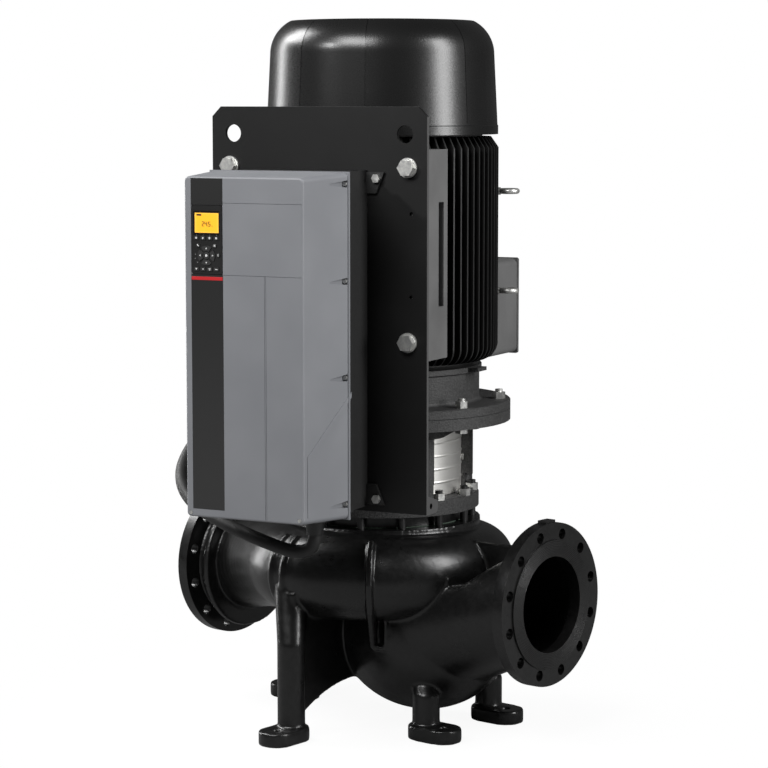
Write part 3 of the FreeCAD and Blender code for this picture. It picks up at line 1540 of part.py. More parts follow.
def drive_chassis():
    """The drive's back part: a tray for its cover, a heat sink with air channels, and four ears."""
    chassis = Piece("drive_chassis")
    low = s.drive_middle - s.cover_rise
    high = s.drive_middle + s.cover_rise
    tray = s.plate_face + s.sink_depth
    sink = rectangle(-s.sink_half, low, s.sink_half, high)
    chassis.pad(s.sink_depth + 1, sink, plane="XZ_Plane", offset=s.plate_face)
    tray_depth = s.chassis_depth - s.sink_depth - s.key_gap
    outline = rectangle(-s.chassis_half, low, s.chassis_half, high)
    chassis.pad(tray_depth, outline, plane="XZ_Plane", offset=tray)
    chassis.pad(6, *ear_outlines(low, high), plane="XZ_Plane", offset=s.plate_face)
    holes = [(x, height, 5.5) for x, height in ear_spots()]
    chassis.pocket(20, circles=holes, plane="XZ_Plane", offset=s.plate_face - 5)
    flange = s.cover_half - 8
    chassis.pad(8, rectangle(-flange, low + 8, flange, high - 8), plane="XZ_Plane", offset=cover_back - 12)
    wall = 5
    hollow = rectangle(wall - s.chassis_half, low + wall, s.chassis_half - wall, high - wall)
    chassis.pocket(s.chassis_depth, hollow, plane="XZ_Plane", offset=tray + wall)
    pitch = 2 * s.sink_half / SINK_CHANNELS
    channels = []
    for step in range(SINK_CHANNELS):
        left = step * pitch + 3 - s.sink_half
        channels.append(rectangle(left, -s.plate_face - s.channel_depth, left + pitch - 6, 1 - s.plate_face))
    chassis.pocket(2 * s.cover_rise + 20, *channels, offset=low - 10)
    turned(chassis.body)
    return chassis


def ear_outlines(low, high):
    """Tapered ears at the chassis's four corners."""
    outlines = []
    for side in (-1, 1):
        for edge, way in ((high, -1), (low, 1)):
            outlines.append((
                (side * 108, edge + 4 * way),
                (side * 152, edge + 4 * way),
                (side * 134, edge + 46 * way),
                (side * 108, edge + 46 * way),
            ))
    return outlines


def ear_spots():
    return [(side * 136, s.drive_middle + up * 324) for side in (-1, 1) for up in (-1, 1)]


def chassis_screws():
    screws = Piece("chassis_screws")
    for x, height in ear_spots():
        screws.pad(7, hexagon(x, height, 16), plane="XZ_Plane", offset=s.plate_face + 6)
        screws.pad(8, circles=((x, height, 5),), plane="XZ_Plane", offset=s.plate_face + 0.3)
    turned(screws.body)
    return screws


def drive_cover():
    """The drafted cover, with the panel's pocket, the strip's recess and the screw scoops."""
    cover = Piece("drive_cover")
    back = cover.sketch((around_middle(s.cover_half, s.cover_rise),), (), "XZ_Plane", cover_back)
    face = cover.sketch((around_middle(s.cover_front, s.front_rise),), (), "XZ_Plane", cover_face)
    loft = cover.body.newObject("PartDesign::AdditiveLoft", "drafted")
    loft.Profile = back
    loft.Sections = [face]
    loft.Ruled = True
    cover.fillet(9, lambda edge: abs(edge.tangentAt(edge.FirstParameter).y) > 0.9)
    front_y = -number(cover_face)
    cover.fillet(4, lambda edge: all(abs(vertex.Y - front_y) < 0.01 for vertex in edge.Vertexes))
    rim = around_middle(s.cover_half + 1.5, s.cover_rise + 1.5)
    cover.pad(s.cover_rim, rim, plane="XZ_Plane", offset=cover_back)
    side_rib(cover)
    hollow_front = s.drive_depth - s.chassis_depth - 24
    wall = 9
    inside = around_middle(s.cover_front - wall, s.front_rise - wall)
    cover.pocket(hollow_front, inside, plane="XZ_Plane", offset=cover_back)
    left = -s.panel_middle - s.panel_half - s.key_gap
    right = s.panel_half + s.key_gap - s.panel_middle
    window = rectangle(left, s.panel_bottom - s.key_gap, right, s.panel_top + s.key_gap)
    cover.pocket(s.panel_deep + 5, window, plane="XZ_Plane", offset=cover_face - s.panel_deep)
    low = s.drive_middle - s.front_rise + 16
    top = s.drive_middle + s.front_rise - 3
    strip = rectangle(-s.panel_middle - s.strip_half, low, s.strip_half - s.panel_middle, top)
    cover.pocket(5, strip, plane="XZ_Plane", offset=cover_face - 1)
    for outline in panel_lines():
        cover.pocket(5, outline, plane="XZ_Plane", offset=cover_face - 0.9)
    scoops(cover)
    holes = [(x, height, 4.2) for x, height in corner_spots()]
    cover.pocket(6, circles=holes, plane="XZ_Plane", offset=cover_face - 2.5)
    turned(cover.body)
    return cover


def around_middle(half, rise):
    """A rectangle about the drive's middle."""
    return rectangle(-half, s.drive_middle - rise, half, s.drive_middle + rise)


def corner_spots():
    """Two screws low in the cover's front."""
    return [(side * (s.cover_front - 9), s.drive_middle - s.front_rise + 8) for side in (-1, 1)]


def side_rib(cover):
    """A cranked rib on the cover's right side, square to the drafted wall."""
    outline = (
        (-598, 528),
        (-590, 528),
        (-590, 640),
        (-456, 748),
        (-456, 759),
        (-598, 646),
    )
    rib = cover.pad(2.4, outline, plane="YZ_Plane")
    wall = rib.Profile[0]
    wall.AttachmentOffset = Placement(Vector(), Rotation(Vector(0, -1, 0), 1))
    bind(wall, "AttachmentOffset.Rotation.Angle", cover_lean)
    bind(wall, "AttachmentOffset.Base.z", s.cover_half + cover_back * tangent(cover_lean) - 1.2)


def panel_lines():
    """Fine grooves that divide the cover's front."""
    line = 0.9
    left = s.strip_half - s.panel_middle
    right = s.cover_front - 3
    low = s.drive_middle - s.front_rise + 4
    return (
        rectangle(left, 1130, right, 1130 + line),
        rectangle(left, 991, right, 991 + line),
        rectangle(45.6, low, 45.6 + line, 991),
        rectangle(48.6, low, 48.6 + line, 991),
    )


def scoops(cover):
    """Leaf-shaped hollows that run forward from the side screws and end where the wall's draft meets them."""
    back = -cover_back - s.cover_rim
    tip = back - 62
    leaves = [((tip, z - 1.5), (back, z - 7), (back, z + 7), (tip, z + 1.5)) for z in SIDE_SCREWS]
    right = cover.pocket(20, *leaves, plane="YZ_Plane", offset=s.cover_half - SCOOP_DEPTH)
    cover.mirror([right], "YZ_Plane")


def cover_screws():
    """Screws in the scoops at the cover's sides and in the lower corners of its front."""
    parts = []
    head = 4.2
    for side in (-1, 1):
        for height in SIDE_SCREWS:
            across = side * (s.cover_half - SCOOP_DEPTH + head + 0.3)
            parts.append(cylinder(head, 4, (across, -cover_back - s.cover_rim - 0.1, height), FORWARD))
    for x, height in corner_spots():
        parts.append(cylinder(3.8, 3, (x, 2.2 - cover_face, height), FORWARD))
    return keep(turned(group(*parts)), "cover_screws")


def control_panel():
    """The panel's shell, with a window ledge and a well for each key."""
    panel = Piece("control_panel")
    left = -s.panel_middle - s.panel_half
    right = s.panel_half - s.panel_middle
    back = cover_face - s.panel_deep + 0.3
    outline = rectangle(left, s.panel_bottom, right, s.panel_top)
    panel.pad(panel_face - back, outline, plane="XZ_Plane", offset=back)
    panel.fillet(4, lambda edge: abs(edge.tangentAt(edge.FirstParameter).y) > 0.99)
    low, high = DISPLAY_SPAN
    wide = s.panel_half - 5
    ledge = rectangle(-s.panel_middle - wide, low, wide - s.panel_middle, high)
    panel.pocket(10, ledge, plane="XZ_Plane", offset=panel_face - 3)
    wells = panel_face - s.key_well
    for name, outline, circle in keys(s.key_gap):
        panel.pocket(s.key_well + 5, *outline, circles=circle, plane="XZ_Plane", offset=wells)
    turned(panel.body)
    return panel


def round_key(x, height, radius):
    return (), ((x, height, radius),)


def oblong(x, height, half_width, half_height):
    return (rectangle(x - half_width, height - half_height, x + half_width, height + half_height),), ()


def arrow_outline(angle, grow):
    """A quarter of a ring, drawn out by a gap all round."""
    inner = 8.8 - grow
    outer = 19 + grow
    lean = 36 + math.degrees(number(grow) / 14)
    low = angle - lean
    high = angle + lean
    x = -s.panel_middle
    return ((
        (x + inner * cosine(low), RING_MIDDLE + inner * sine(low)),
        (x + outer * cosine(low), RING_MIDDLE + outer * sine(low)),
        (x + outer * cosine(high), RING_MIDDLE + outer * sine(high), outer),
        (x + inner * cosine(high), RING_MIDDLE + inner * sine(high)),
        (x + inner * cosine(low), RING_MIDDLE + inner * sine(low), -inner),
    )[1:],), ()


def keys(grow):
    """Name, outlines and circles of every key, drawn out by a gap all round."""
    listed = []
    for height, row in KEY_ROWS:
        for index, step in enumerate(KEY_STEPS, 1):
            shape = oblong(step - s.panel_middle, height, 5.2 + grow, 3.6 + grow)
            listed.append((f"key_{row}_{index}", *shape))
    for name, x, height in (("back", -18.6, 1048.2), ("cancel", 18.6, 1048.2), ("info", 26.2, 1030)):
        listed.append((f"key_{name}", *round_key(x - s.panel_middle, height, 3.9 + grow)))
    listed.append(("key_enter", *round_key(-s.panel_middle, RING_MIDDLE, 7 + grow)))
    for name, angle in ARROWS:
        listed.append((f"key_{name}", *arrow_outline(angle, Size(0, "0") + grow)))
    return listed


def panel_keys():
    """Sixteen push buttons, each in its well."""
    travel = 1.4
    back = panel_face - s.key_well + travel
    for name, outline, circle in keys(0):
        key = Piece(name)
        key.pad(s.key_well - travel + s.key_proud, *outline, circles=circle, plane="XZ_Plane", offset=back)
        turned(key.body)


def display():
    screen = Piece("display")
    low, high = DISPLAY_SPAN
    wide = s.panel_half - 5 - s.key_gap
    left = -s.panel_middle - wide
    right = wide - s.panel_middle
    window = rectangle(left, low + s.key_gap, right, high - s.key_gap)
    screen.pad(2.4, window, plane="XZ_Plane", offset=panel_face - 3)
    turned(screen.body)
    return screen


def gland(start, rotation, length):
    """The hexagon nut of a cable gland."""
    sketch = doc.addObject("Sketcher::SketchObject", "outline")
    draw(sketch, hexagon(0, 0, 2 * s.gland_radius))
    draw_circle(sketch, 0, 0, s.cable_radius + 0.3)
    place(sketch, start, rotation)
    nut = doc.addObject("Part::Extrusion", "nut")
    nut.Base = sketch
    nut.DirMode = "Normal"
    nut.Solid = True
    bind(nut, "LengthFwd", length)
    return nut


def cable_glands():
    """One gland under the drive and one on the terminal box."""
    x, y, end = CABLE_ROUTE[0]
    nut = 16
    low = s.drive_middle - s.cover_rise
    down = Rotation(Vector(1, 0, 0), 180)
    sleeve = boot((x, y, low - nut), down, low - nut - end)
    bore = cylinder(s.cable_radius + 0.3, 60, (x, y, end - 5))
    outlet = cut(fuse(gland((x, y, low), down, nut), sleeve), bore)
    end, y, height = CABLE_ROUTE[-1]
    leftward = Rotation(Vector(0, 1, 0), -90)
    sleeve = boot((-s.box_half - nut, y, height), leftward, -end - s.box_half - nut)
    bore = cylinder(s.cable_radius + 0.3, 60, (end - 5, y, height), ALONG_X)
    inlet = cut(fuse(gland((-s.box_half, y, height), leftward, nut), sleeve), bore)
    return keep(turned(group(outlet, inlet)), "cable_glands")


def boot(start, rotation, length):
    """The tapered sleeve between a gland's nut and the cable."""
    return primitive("Cone", start, rotation, Radius1=s.gland_radius - 1, Radius2=s.cable_radius + 3,
                     Height=length)


def motor_cable():
    """The cable from the drive round the plate's edge to the terminal box: straight runs and arcs."""
    points = [Vector(*point) for point in CABLE_ROUTE]
    edges = []
    here = points[0]
    for before, corner, after in zip(points, points[1:], points[2:]):
        run_in = (corner - before)
        run_out = (after - corner)
        shorter = min(run_in.Length, run_out.Length)
        half_turn = run_in.getAngle(run_out) / 2
        radius = 0.45 * shorter / math.tan(half_turn)
        start = corner - run_in.normalize() * 0.45 * shorter
        end = corner + run_out.normalize() * 0.45 * shorter
        towards = ((start + end) / 2 - corner).normalize()
        middle = corner + towards * (radius / math.cos(half_turn) - radius)
        edges.append(Part.LineSegment(here, start).toShape())
        edges.append(Part.Arc(start, middle, end).toShape())
        here = end
    edges.append(Part.LineSegment(here, points[-1]).toShape())
    path = Part.Wire(edges)
    first_way = (points[1] - points[0]).normalize()
    section = Part.Wire(Part.makeCircle(number(s.cable_radius), points[0], first_way))
    tube = path.makePipeShell([section], True, False, 2)
    expected = math.pi * number(s.cable_radius) ** 2 * path.Length
    print(f"cable length {path.Length:.1f}, volume ratio {tube.Volume / expected:.4f}")
    feature = doc.addObject("Part::Feature", "motor_cable")
    feature.Shape = tube
    return keep(turned(feature), "motor_cable")


def build():
    pump_housing()
    cover_gasket()
    pump_cover()
    wear_ring()
    impeller()
    impeller_nut()
    pump_shaft()
    seal_rotor()
    seal_seat()
    motor_stool()
    stool_studs()
    stool_nuts()
    coupling_halves()
    coupling_screws()
    coupling_guards()
    guard_screws()
    screw_plugs()
    motor_frame()
    drive_end_shield()
    rear_end_shield()
    stator()
    rotor()
    motor_shaft()
    drive_end_bearing()
    rear_bearing()
    cooling_fan()
    fan_cover()
    flange_bolts()
    fan_cover_screws()
    terminal_box()
    terminal_box_lid()
    lid_screws()
    build_eye_bolts()
    mounting_plate()
    motor_feet()
    plate_bolts()
    drive_chassis()
    chassis_screws()
    drive_cover()
    cover_screws()
    control_panel()
    panel_keys()
    display()
    cable_glands()
    motor_cable()


def check_and_write():
    """Stops at a failed object or an unsound shape, and writes every sub-part."""
    doc.recompute()
    for item in doc.Objects:
        if "Invalid" in item.State or "Error" in item.State:
            raise RuntimeError(f"{item.Label} ({item.Name}) failed: {item.State}")
    for piece in pieces:
        if piece.Shape.isNull() or not piece.Shape.isValid():
            raise RuntimeError(f"{piece.Label} has no sound shape")
    os.makedirs("parts", exist_ok=True)
    for piece in pieces:
        piece.Shape.exportStep(os.path.join("parts", f"{piece.Label}.step"))


build()
check_and_write()
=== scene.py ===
import json
import math

import bmesh
import bpy
from mathutils import Matrix, Vector

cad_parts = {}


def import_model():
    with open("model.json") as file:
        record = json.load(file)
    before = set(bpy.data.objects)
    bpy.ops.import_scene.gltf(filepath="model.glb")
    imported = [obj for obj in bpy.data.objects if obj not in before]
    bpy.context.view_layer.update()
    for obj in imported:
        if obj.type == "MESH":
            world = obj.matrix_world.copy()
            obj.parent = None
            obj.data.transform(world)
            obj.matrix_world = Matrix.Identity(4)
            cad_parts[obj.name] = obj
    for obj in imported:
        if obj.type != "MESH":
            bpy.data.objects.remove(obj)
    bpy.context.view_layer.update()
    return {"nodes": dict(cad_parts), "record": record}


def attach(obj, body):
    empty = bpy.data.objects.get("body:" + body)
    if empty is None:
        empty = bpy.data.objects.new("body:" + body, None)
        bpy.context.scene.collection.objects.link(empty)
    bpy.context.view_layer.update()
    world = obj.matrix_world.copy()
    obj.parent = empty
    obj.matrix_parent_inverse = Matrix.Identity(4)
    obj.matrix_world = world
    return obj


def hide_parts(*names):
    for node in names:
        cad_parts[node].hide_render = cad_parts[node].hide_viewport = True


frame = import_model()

scene = bpy.context.scene
ROOT = "pump"

# Sizes in metres; the pump's floor point is the origin and the motor unit is turned about the shaft.
UNIT_TURN = math.radians(360 / 28)

# The pipe ports and the joint to the pump cover.
PIPE_AXIS = 0.297
PORT_FACE = 0.45
PORT_BORE = 0.1
RAISED_RADIUS = 0.134
RAISED_HEIGHT = 0.0025
FLANGE_BACK = 0.422
JOINT_HEIGHT = 0.420
JOINT_RADIUS = 0.22

# The motor's fins, root and tip, for the shade painted between them, and the edges of the mounting plate, a
# little inside them, for the highlight painted along them.
FIN_ROOT = 0.235
FIN_TIP = 0.2472
PLATE_EDGE = 0.2447
PLATE_TOP = 1.3142
PLATE_FOOT = 0.4973

# The drive's front: the strip, the red line, the panel, its keys and its screen.
DRIVE_FRONT = -0.602
PANEL_X = -0.0805
PANEL_FRONT = -0.6032
KEY_FRONT = -0.6048
STRIP_HALF = 0.0352
STRIP_LOW = 0.5315
STRIP_HIGH = 1.1775
PANEL_SPAN = (0.9925, 1.1262)
STRIP_CORNER = 0.0012
RED_LINE_MIDDLE = 0.9842
RED_LINE_WIDTH = 0.0066
RED_LINE_INSET = 0.0006
RED_LINE_CORNER = 0.0004
FINE_BEVEL = 0.0002
SCREEN_FRONT = -0.6026
SCREEN_MIDDLE = 1.0918
SCREEN_HALF_WIDTH = 0.0265
SCREEN_HALF_HEIGHT = 0.0192

# The cast roundings: the grid of the rebuilt skin, and the rounds of smoothing before and after the tube
# is drawn round. The smoothing fades out towards the flanges and the joint.
FINE_SKIN = 0.003
FINE_ROUNDS = (10, 4)
FLANGE_CLEAR = 0.004
FADE_LENGTH = 0.012
LEAST_SHARE = 0.12

# The tube is drawn round where its skin lies near the true form and faces straight out from its middle.
SKIN_BELOW = 0.003
SKIN_ABOVE = 0.001
STRAIGHT_OUT = 0.94
TUBE_BAND = 0.12

# The casting and the crisp flanges overlap a little behind each flange.
CASTING_END = FLANGE_BACK - 0.0015
FLANGE_START = FLANGE_BACK - 0.003
CRISP_ANGLE = math.radians(30)

# The casing's tube: its middle circle, its round sections and the outlet duct's course.
TUBE_PITCH = 0.205
TUBE_HEIGHT = 0.340
TUBE_RADIUS = 0.094
TUBE_TAIL = 0.066
TUBE_START = -35.0
TUBE_END = 247.0
DUCT_PULL = 0.330
DUCT_END = 0.114
DUCT_STEPS = 14

# Prints: how deep they start, how far they stand out, and the points of a round one.
PRINT_DEPTH = 0.00004
PRINT_RISE = 0.00010
DISC_POINTS = 20

# The screen's numerals in millimetres: half their width and height, the width of their bars, their middles.
NUMERAL_HALF_WIDTH = 2.0
NUMERAL_HALF_HEIGHT = 4.0
NUMERAL_STROKE = 1.4
NUMERAL_MIDDLES = (-88.5, -82.0, -74.6)
NUMERAL_LEVEL = 1089.6

# The camera, as fitted to the photo.
CAMERA_PLACE = (3.42014, -4.19251, 1.33163)
CAMERA_AIM = (0.00474, 0.0, 0.72189)
CAMERA_LENS = 118.9
CAMERA_SENSOR = 36.0

# The studio: each lamp's name, place, aim, width, height and power, the light from all round, the floor.
LAMPS = (
    ("right_softbox", (3.0, 0.6, 2.0), (0.1, 0, 0.8), 0.9, 2.6, 120),
    ("front_softbox", (0.5, -3.2, 3.5), (0, 0, 0.7), 2.2, 1.4, 150),
    ("left_strip", (-3.2, -0.5, 1.5), (0, 0, 0.8), 0.5, 2.8, 60),
    ("high_left_softbox", (-2.5, -0.9, 3.0), (0, 0, 0.5), 1.2, 1.2, 80),
    ("volute_spot", (-0.9, -3.1, 2.6), (-0.05, -0.3, 0.35), 0.18, 0.18, 34),
)
ROOM_LIGHT = 0.07
FLOOR_RADIUS = 14.0
FLOOR_WHITE_NEAR = 0.93
FLOOR_SHADE_REACH = (0.3, 0.9)

# The motor cable, in the turned unit's frame.
CABLE_RADIUS = 0.0135
CABLE_ROUTE = (
    (0.063, -0.430, 0.466),
    (0.061, -0.430, 0.446),
    (0.045, -0.430, 0.431),
    (0.016, -0.431, 0.427),
    (-0.028, -0.431, 0.436),
    (-0.092, -0.429, 0.454),
    (-0.160, -0.421, 0.475),
    (-0.216, -0.403, 0.493),
    (-0.260, -0.381, 0.512),
    (-0.291, -0.355, 0.539),
    (-0.308, -0.322, 0.567),
    (-0.313, -0.281, 0.596),
    (-0.313, -0.230, 0.625),
    (-0.313, -0.165, 0.657),
    (-0.315, -0.090, 0.692),
    (-0.322, -0.005, 0.729),
    (-0.332, 0.075, 0.765),
    (-0.340, 0.140, 0.797),
    (-0.340, 0.196, 0.822),
    (-0.317, 0.251, 0.840),
    (-0.275, 0.293, 0.853),
    (-0.220, 0.316, 0.860),
    (-0.176, 0.316, 0.860),
)


def in_unit(x, y, z):
    """A place of the turned motor unit, in the pump's frame."""
    return Matrix.Rotation(UNIT_TURN, 3, "Z") @ Vector((x, y, z))


class Signal:
    """A shader's socket, on which sums can be written."""

    def __init__(self, finish, socket):
        self.finish = finish
        self.socket = socket

    def math(self, operation, *others):
        """One step of arithmetic on this signal."""
        inputs = dict(enumerate((self, *others)))
        return self.finish.node("ShaderNodeMath", {"operation": operation}, inputs)

    def __add__(self, other):
        return self.math("ADD", other)

    __radd__ = __add__

    def __mul__(self, other):
        return self.math("MULTIPLY", other)

    __rmul__ = __mul__

    def __sub__(self, other):
        return self.math("SUBTRACT", other)

    def __rsub__(self, other):
        return self.finish.node("ShaderNodeMath", {"operation": "SUBTRACT"}, {0: other, 1: self})

    def __truediv__(self, other):
        return self.math("DIVIDE", other)

    def __pow__(self, other):
        return self.math("POWER", other)

    def __abs__(self):
        return self.math("ABSOLUTE")

    def __gt__(self, other):
        return self.math("GREATER_THAN", other)

    def __lt__(self, other):
        return self.math("LESS_THAN", other)

    def within(self, low, high):
        """Is 1 between two values, and 0 outside them."""
        return (self > low) * (self < high)

    def smooth(self, low, high):
        """Rises from 0 at low to 1 at high."""
        settings = {"interpolation_type": "SMOOTHSTEP"}
        return self.finish.node("ShaderNodeMapRange", settings, {0: self, 1: low, 2: high, 3: 0.0, 4: 1.0})


class Finish:
    """A material that is put together from nodes."""

    def __init__(self, name):
        self.material = bpy.data.materials.new(name)
        self.material.use_nodes = True
        self.tree = self.material.node_tree
        self.tree.nodes.clear()
        self.place = self.node("ShaderNodeTexCoord", output="Object")

    def node(self, kind, settings=None, inputs=None, output=0):
        """A node with its settings, its inputs linked or filled in, and one output given back."""
        made = self.tree.nodes.new(kind)
        for name, value in (settings or {}).items():
            setattr(made, name, value)
        for name, value in (inputs or {}).items():
            if isinstance(value, Signal):
                self.tree.links.new(value.socket, made.inputs[name])
            else:
                made.inputs[name].default_value = value
        return Signal(self, made.outputs[output]) if len(made.outputs) else None

    def turned(self):
        """Object coordinates of the turned motor unit."""
        settings = {"rotation_type": "Z_AXIS", "invert": True}
        return self.node("ShaderNodeVectorRotate", settings, {"Vector": self.place, "Angle": UNIT_TURN})

    def axes(self, place=None):
        """X, Y and Z of a place."""
        made = self.tree.nodes.new("ShaderNodeSeparateXYZ")
        self.tree.links.new((place or self.place).socket, made.inputs[0])
        return [Signal(self, output) for output in made.outputs]

    def noise(self, scale, detail=2.0, roughness=0.5, stretch=None):
        """A cloudy pattern, which a stretch draws out along an axis."""
        where = self.place
        if stretch:
            where = self.node("ShaderNodeVectorMath", {"operation": "MULTIPLY"}, {0: where, 1: stretch})
        inputs = {"Vector": where, "Scale": scale, "Detail": detail, "Roughness": roughness}
        return self.node("ShaderNodeTexNoise", inputs=inputs)

    def grains(self, scale):
        """Distance to the nearest of many scattered points."""
        inputs = {"Vector": self.place, "Scale": scale, "Randomness": 1.0}
        return self.node("ShaderNodeTexVoronoi", inputs=inputs)

    def mix(self, share, low, high):
        """A colour between two colours; 6, 7 and the output 2 are the node's sockets for colours."""
        made = self.tree.nodes.new("ShaderNodeMix")
        made.data_type = "RGBA"
        for index, value in ((0, share), (6, low), (7, high)):
            if isinstance(value, Signal):
                self.tree.links.new(value.socket, made.inputs[index])
            else:
                made.inputs[index].default_value = value if index == 0 else (*value, 1.0)
        return Signal(self, made.outputs[2])

    def bump(self, height, depth, below=None):
        """Fine relief, on top of the relief below it."""
        inputs = {"Height": height, "Distance": depth, "Strength": 1.0}
        if below:
            inputs["Normal"] = below
        return self.node("ShaderNodeBump", inputs=inputs)

    def surface(self, **inputs):
        """Ends the material in one principled shader."""
        named = {name.replace("_", " "): value for name, value in inputs.items()}
        shader = self.node("ShaderNodeBsdfPrincipled", inputs=named)
        self.node("ShaderNodeOutputMaterial", inputs={"Surface": shader})
        return self.material


def grey(level):
    return (level, level, level)


def enamel_casting():
    """Semi-gloss black enamel over a sand casting, with turning rings on each raised face."""
    finish = Finish("black_enamel_casting")
    x, y, z = finish.axes()
    swell = finish.noise(14.0, 2.0)
    peel = finish.noise(420.0, 2.0, 0.6)
    pits = finish.noise(90.0, 3.0, 0.55)
    radius = ((y * y) + ((z - PIPE_AXIS) ** 2.0)) ** 0.5
    on_face = (abs(x) > PORT_FACE - RAISED_HEIGHT) * radius.within(PORT_BORE, RAISED_RADIUS)
    rings = (radius * 1900.0).math("SINE") * on_face
    rough = 0.20 + 0.13 * pits + 0.08 * swell
    low = finish.bump(swell, 0.0010)
    fine = finish.bump(peel * 0.5 + pits, 0.00022, low)
    normal = finish.bump(rings, 0.0002, fine)
    color = finish.mix(pits.smooth(0.35, 0.75), grey(0.0035), grey(0.0065))
    return finish.surface(Base_Color=color, Roughness=rough, Normal=normal)


def sand_paint(name, dark, light, grain=0.0006, rough=0.55):
    """Paint over a coarse sand-cast skin, as on the stool and the motor's shields."""
    finish = Finish(name)
    sand = finish.noise(330.0, 3.0, 0.65)
    lumps = finish.grains(240.0)
    wash = finish.noise(9.0, 2.0)
    normal = finish.bump(sand + 0.6 * lumps, grain)
    color = finish.mix(sand.smooth(0.3, 0.75), dark, light)
    worn = finish.mix(0.35 * wash.smooth(0.45, 0.8), color, light)
    return finish.surface(Base_Color=worn, Roughness=rough + 0.15 * sand, Normal=normal)


def fin_paint():
    """Satin black on the cast fins, with painted shade down between them, so a little lighter along their
    tips.
    """
    finish = Finish("satin_black_fins")
    x, y = finish.axes()[:2]
    reach = ((x * x) + (y * y)) ** 0.5
    grain = finish.noise(260.0, 3.0, 0.6)
    # Painted shade: darker towards the fins' roots between them, lighter towards their tips.
    painted_tip_light = reach.smooth(FIN_ROOT, FIN_TIP)
    color = finish.mix(painted_tip_light, grey(0.004), grey(0.012))
    normal = finish.bump(grain, 0.0003)
    gloss = 0.40 + 0.15 * grain
    return finish.surface(Base_Color=color, Roughness=gloss, Normal=normal, Specular_IOR_Level=0.3)


def cap_paint():
    """Satin black powder coat on the drawn fan cover."""
    finish = Finish("satin_black_cover")
    grain = finish.noise(700.0, 2.0, 0.5)
    dent = finish.noise(5.0, 1.0)
    normal = finish.bump(grain, 0.00008, finish.bump(dent, 0.0010))
    color = finish.mix(dent.smooth(0.3, 0.7), grey(0.005), grey(0.008))
    return finish.surface(Base_Color=color, Roughness=0.24 + 0.08 * grain, Normal=normal)


def powder_plate():
    """Matt black powder coat on the mounting plate, with a painted highlight along its cut edges."""
    finish = Finish("matt_black_plate")
    grain = finish.noise(900.0, 2.0, 0.5)
    cloud = finish.noise(6.0, 3.0)
    x, _, z = finish.axes(finish.turned())
    # Painted highlight: a light grey is mixed in along the plate's cut edges.
    edge = (abs(x) > PLATE_EDGE) + (z > PLATE_TOP) + (z < PLATE_FOOT)
    color = finish.mix(0.5 * cloud.smooth(0.4, 0.75), grey(0.0045), grey(0.008))
    color_with_painted_edge_highlight = finish.mix(edge.math("MINIMUM", 1.0) * 0.7, color, grey(0.10))
    normal = finish.bump(grain, 0.00015)
    gloss = 0.46 + 0.12 * cloud
    return finish.surface(Base_Color=color_with_painted_edge_highlight, Roughness=gloss, Normal=normal, Specular_IOR_Level=0.25)


def drawn_metal(name, dark, light, rough, stretch, depth=0.00008):
    """Bright metal with fine marks in one direction."""
    finish = Finish(name)
    marks = finish.noise(900.0, 3.0, 0.6, stretch)
    cloud = finish.noise(22.0, 2.0)
    color = finish.mix(marks.smooth(0.3, 0.7), dark, light)
    normal = finish.bump(marks, depth)
    gloss = rough + 0.12 * marks + 0.08 * cloud
    return finish.surface(Base_Color=color, Metallic=1.0, Roughness=gloss, Normal=normal)


def zinc_plate():
    """Bright zinc on bolts and nuts, with a faint straw tint in patches."""
    finish = Finish("zinc_plate")
    cloud = finish.noise(120.0, 3.0, 0.6)
    marks = finish.noise(1500.0, 2.0, 0.5)
    color = finish.mix(cloud.smooth(0.35, 0.7), (0.55, 0.55, 0.54), (0.72, 0.72, 0.69))
    normal = finish.bump(marks, 0.00006)
    return finish.surface(Base_Color=color, Metallic=0.9, Roughness=0.30 + 0.2 * cloud, Normal=normal)


def moulded(name, dark, light, rough):
    """Moulded plastic with an etched skin."""
    finish = Finish(name)
    skin = finish.noise(1800.0, 2.0, 0.55)
    cloud = finish.noise(7.0, 2.0)
    color = finish.mix(cloud.smooth(0.3, 0.7), dark, light)
    normal = finish.bump(skin, 0.00006)
    return finish.surface(Base_Color=color, Roughness=rough + 0.1 * skin, Normal=normal)


def light_casting(name, dark, light):
    """Light grey paint, slightly cloudy, with a fine cast grain."""
    finish = Finish(name)
    grain = finish.noise(500.0, 3.0, 0.6)
    cloud = finish.noise(8.0, 3.0)
    color = finish.mix(cloud.smooth(0.3, 0.75), dark, light)
    normal = finish.bump(grain, 0.00022)
    return finish.surface(Base_Color=color, Roughness=0.48 + 0.14 * grain, Normal=normal)


def rubber_sheath():
    """Black rubber with a dusty bloom."""
    finish = Finish("black_rubber_sheath")
    bloom = finish.noise(40.0, 3.0, 0.6)
    skin = finish.noise(600.0, 2.0)
    color = finish.mix(bloom.smooth(0.4, 0.8), grey(0.006), grey(0.012))
    normal = finish.bump(skin, 0.00015)
    return finish.surface(Base_Color=color, Roughness=0.52 + 0.14 * bloom, Normal=normal)


def lit_screen():
    """An amber screen, a little brighter along its rim."""
    finish = Finish("amber_screen")
    x, _, z = finish.axes(finish.turned())
    across = abs(x - PANEL_X) / SCREEN_HALF_WIDTH
    up = abs(z - SCREEN_MIDDLE) / SCREEN_HALF_HEIGHT
    inside = (across < 1.0) * (up < 1.0)
    rim = across.math("MAXIMUM", up).smooth(0.80, 1.0)
    cells = finish.noise(2200.0, 0.0)
    glow = finish.mix(inside, grey(0.0), finish.mix(rim, (0.93, 0.42, 0.022), (1.0, 0.60, 0.12)))
    amber = finish.mix(cells.smooth(0.4, 0.6), (0.70, 0.33, 0.02), (0.78, 0.38, 0.03))
    base = finish.mix(inside, grey(0.006), amber)
    gloss = 0.22 + 0.05 * cells
    return finish.surface(Base_Color=base, Roughness=gloss, Emission_Color=glow, Emission_Strength=0.55)


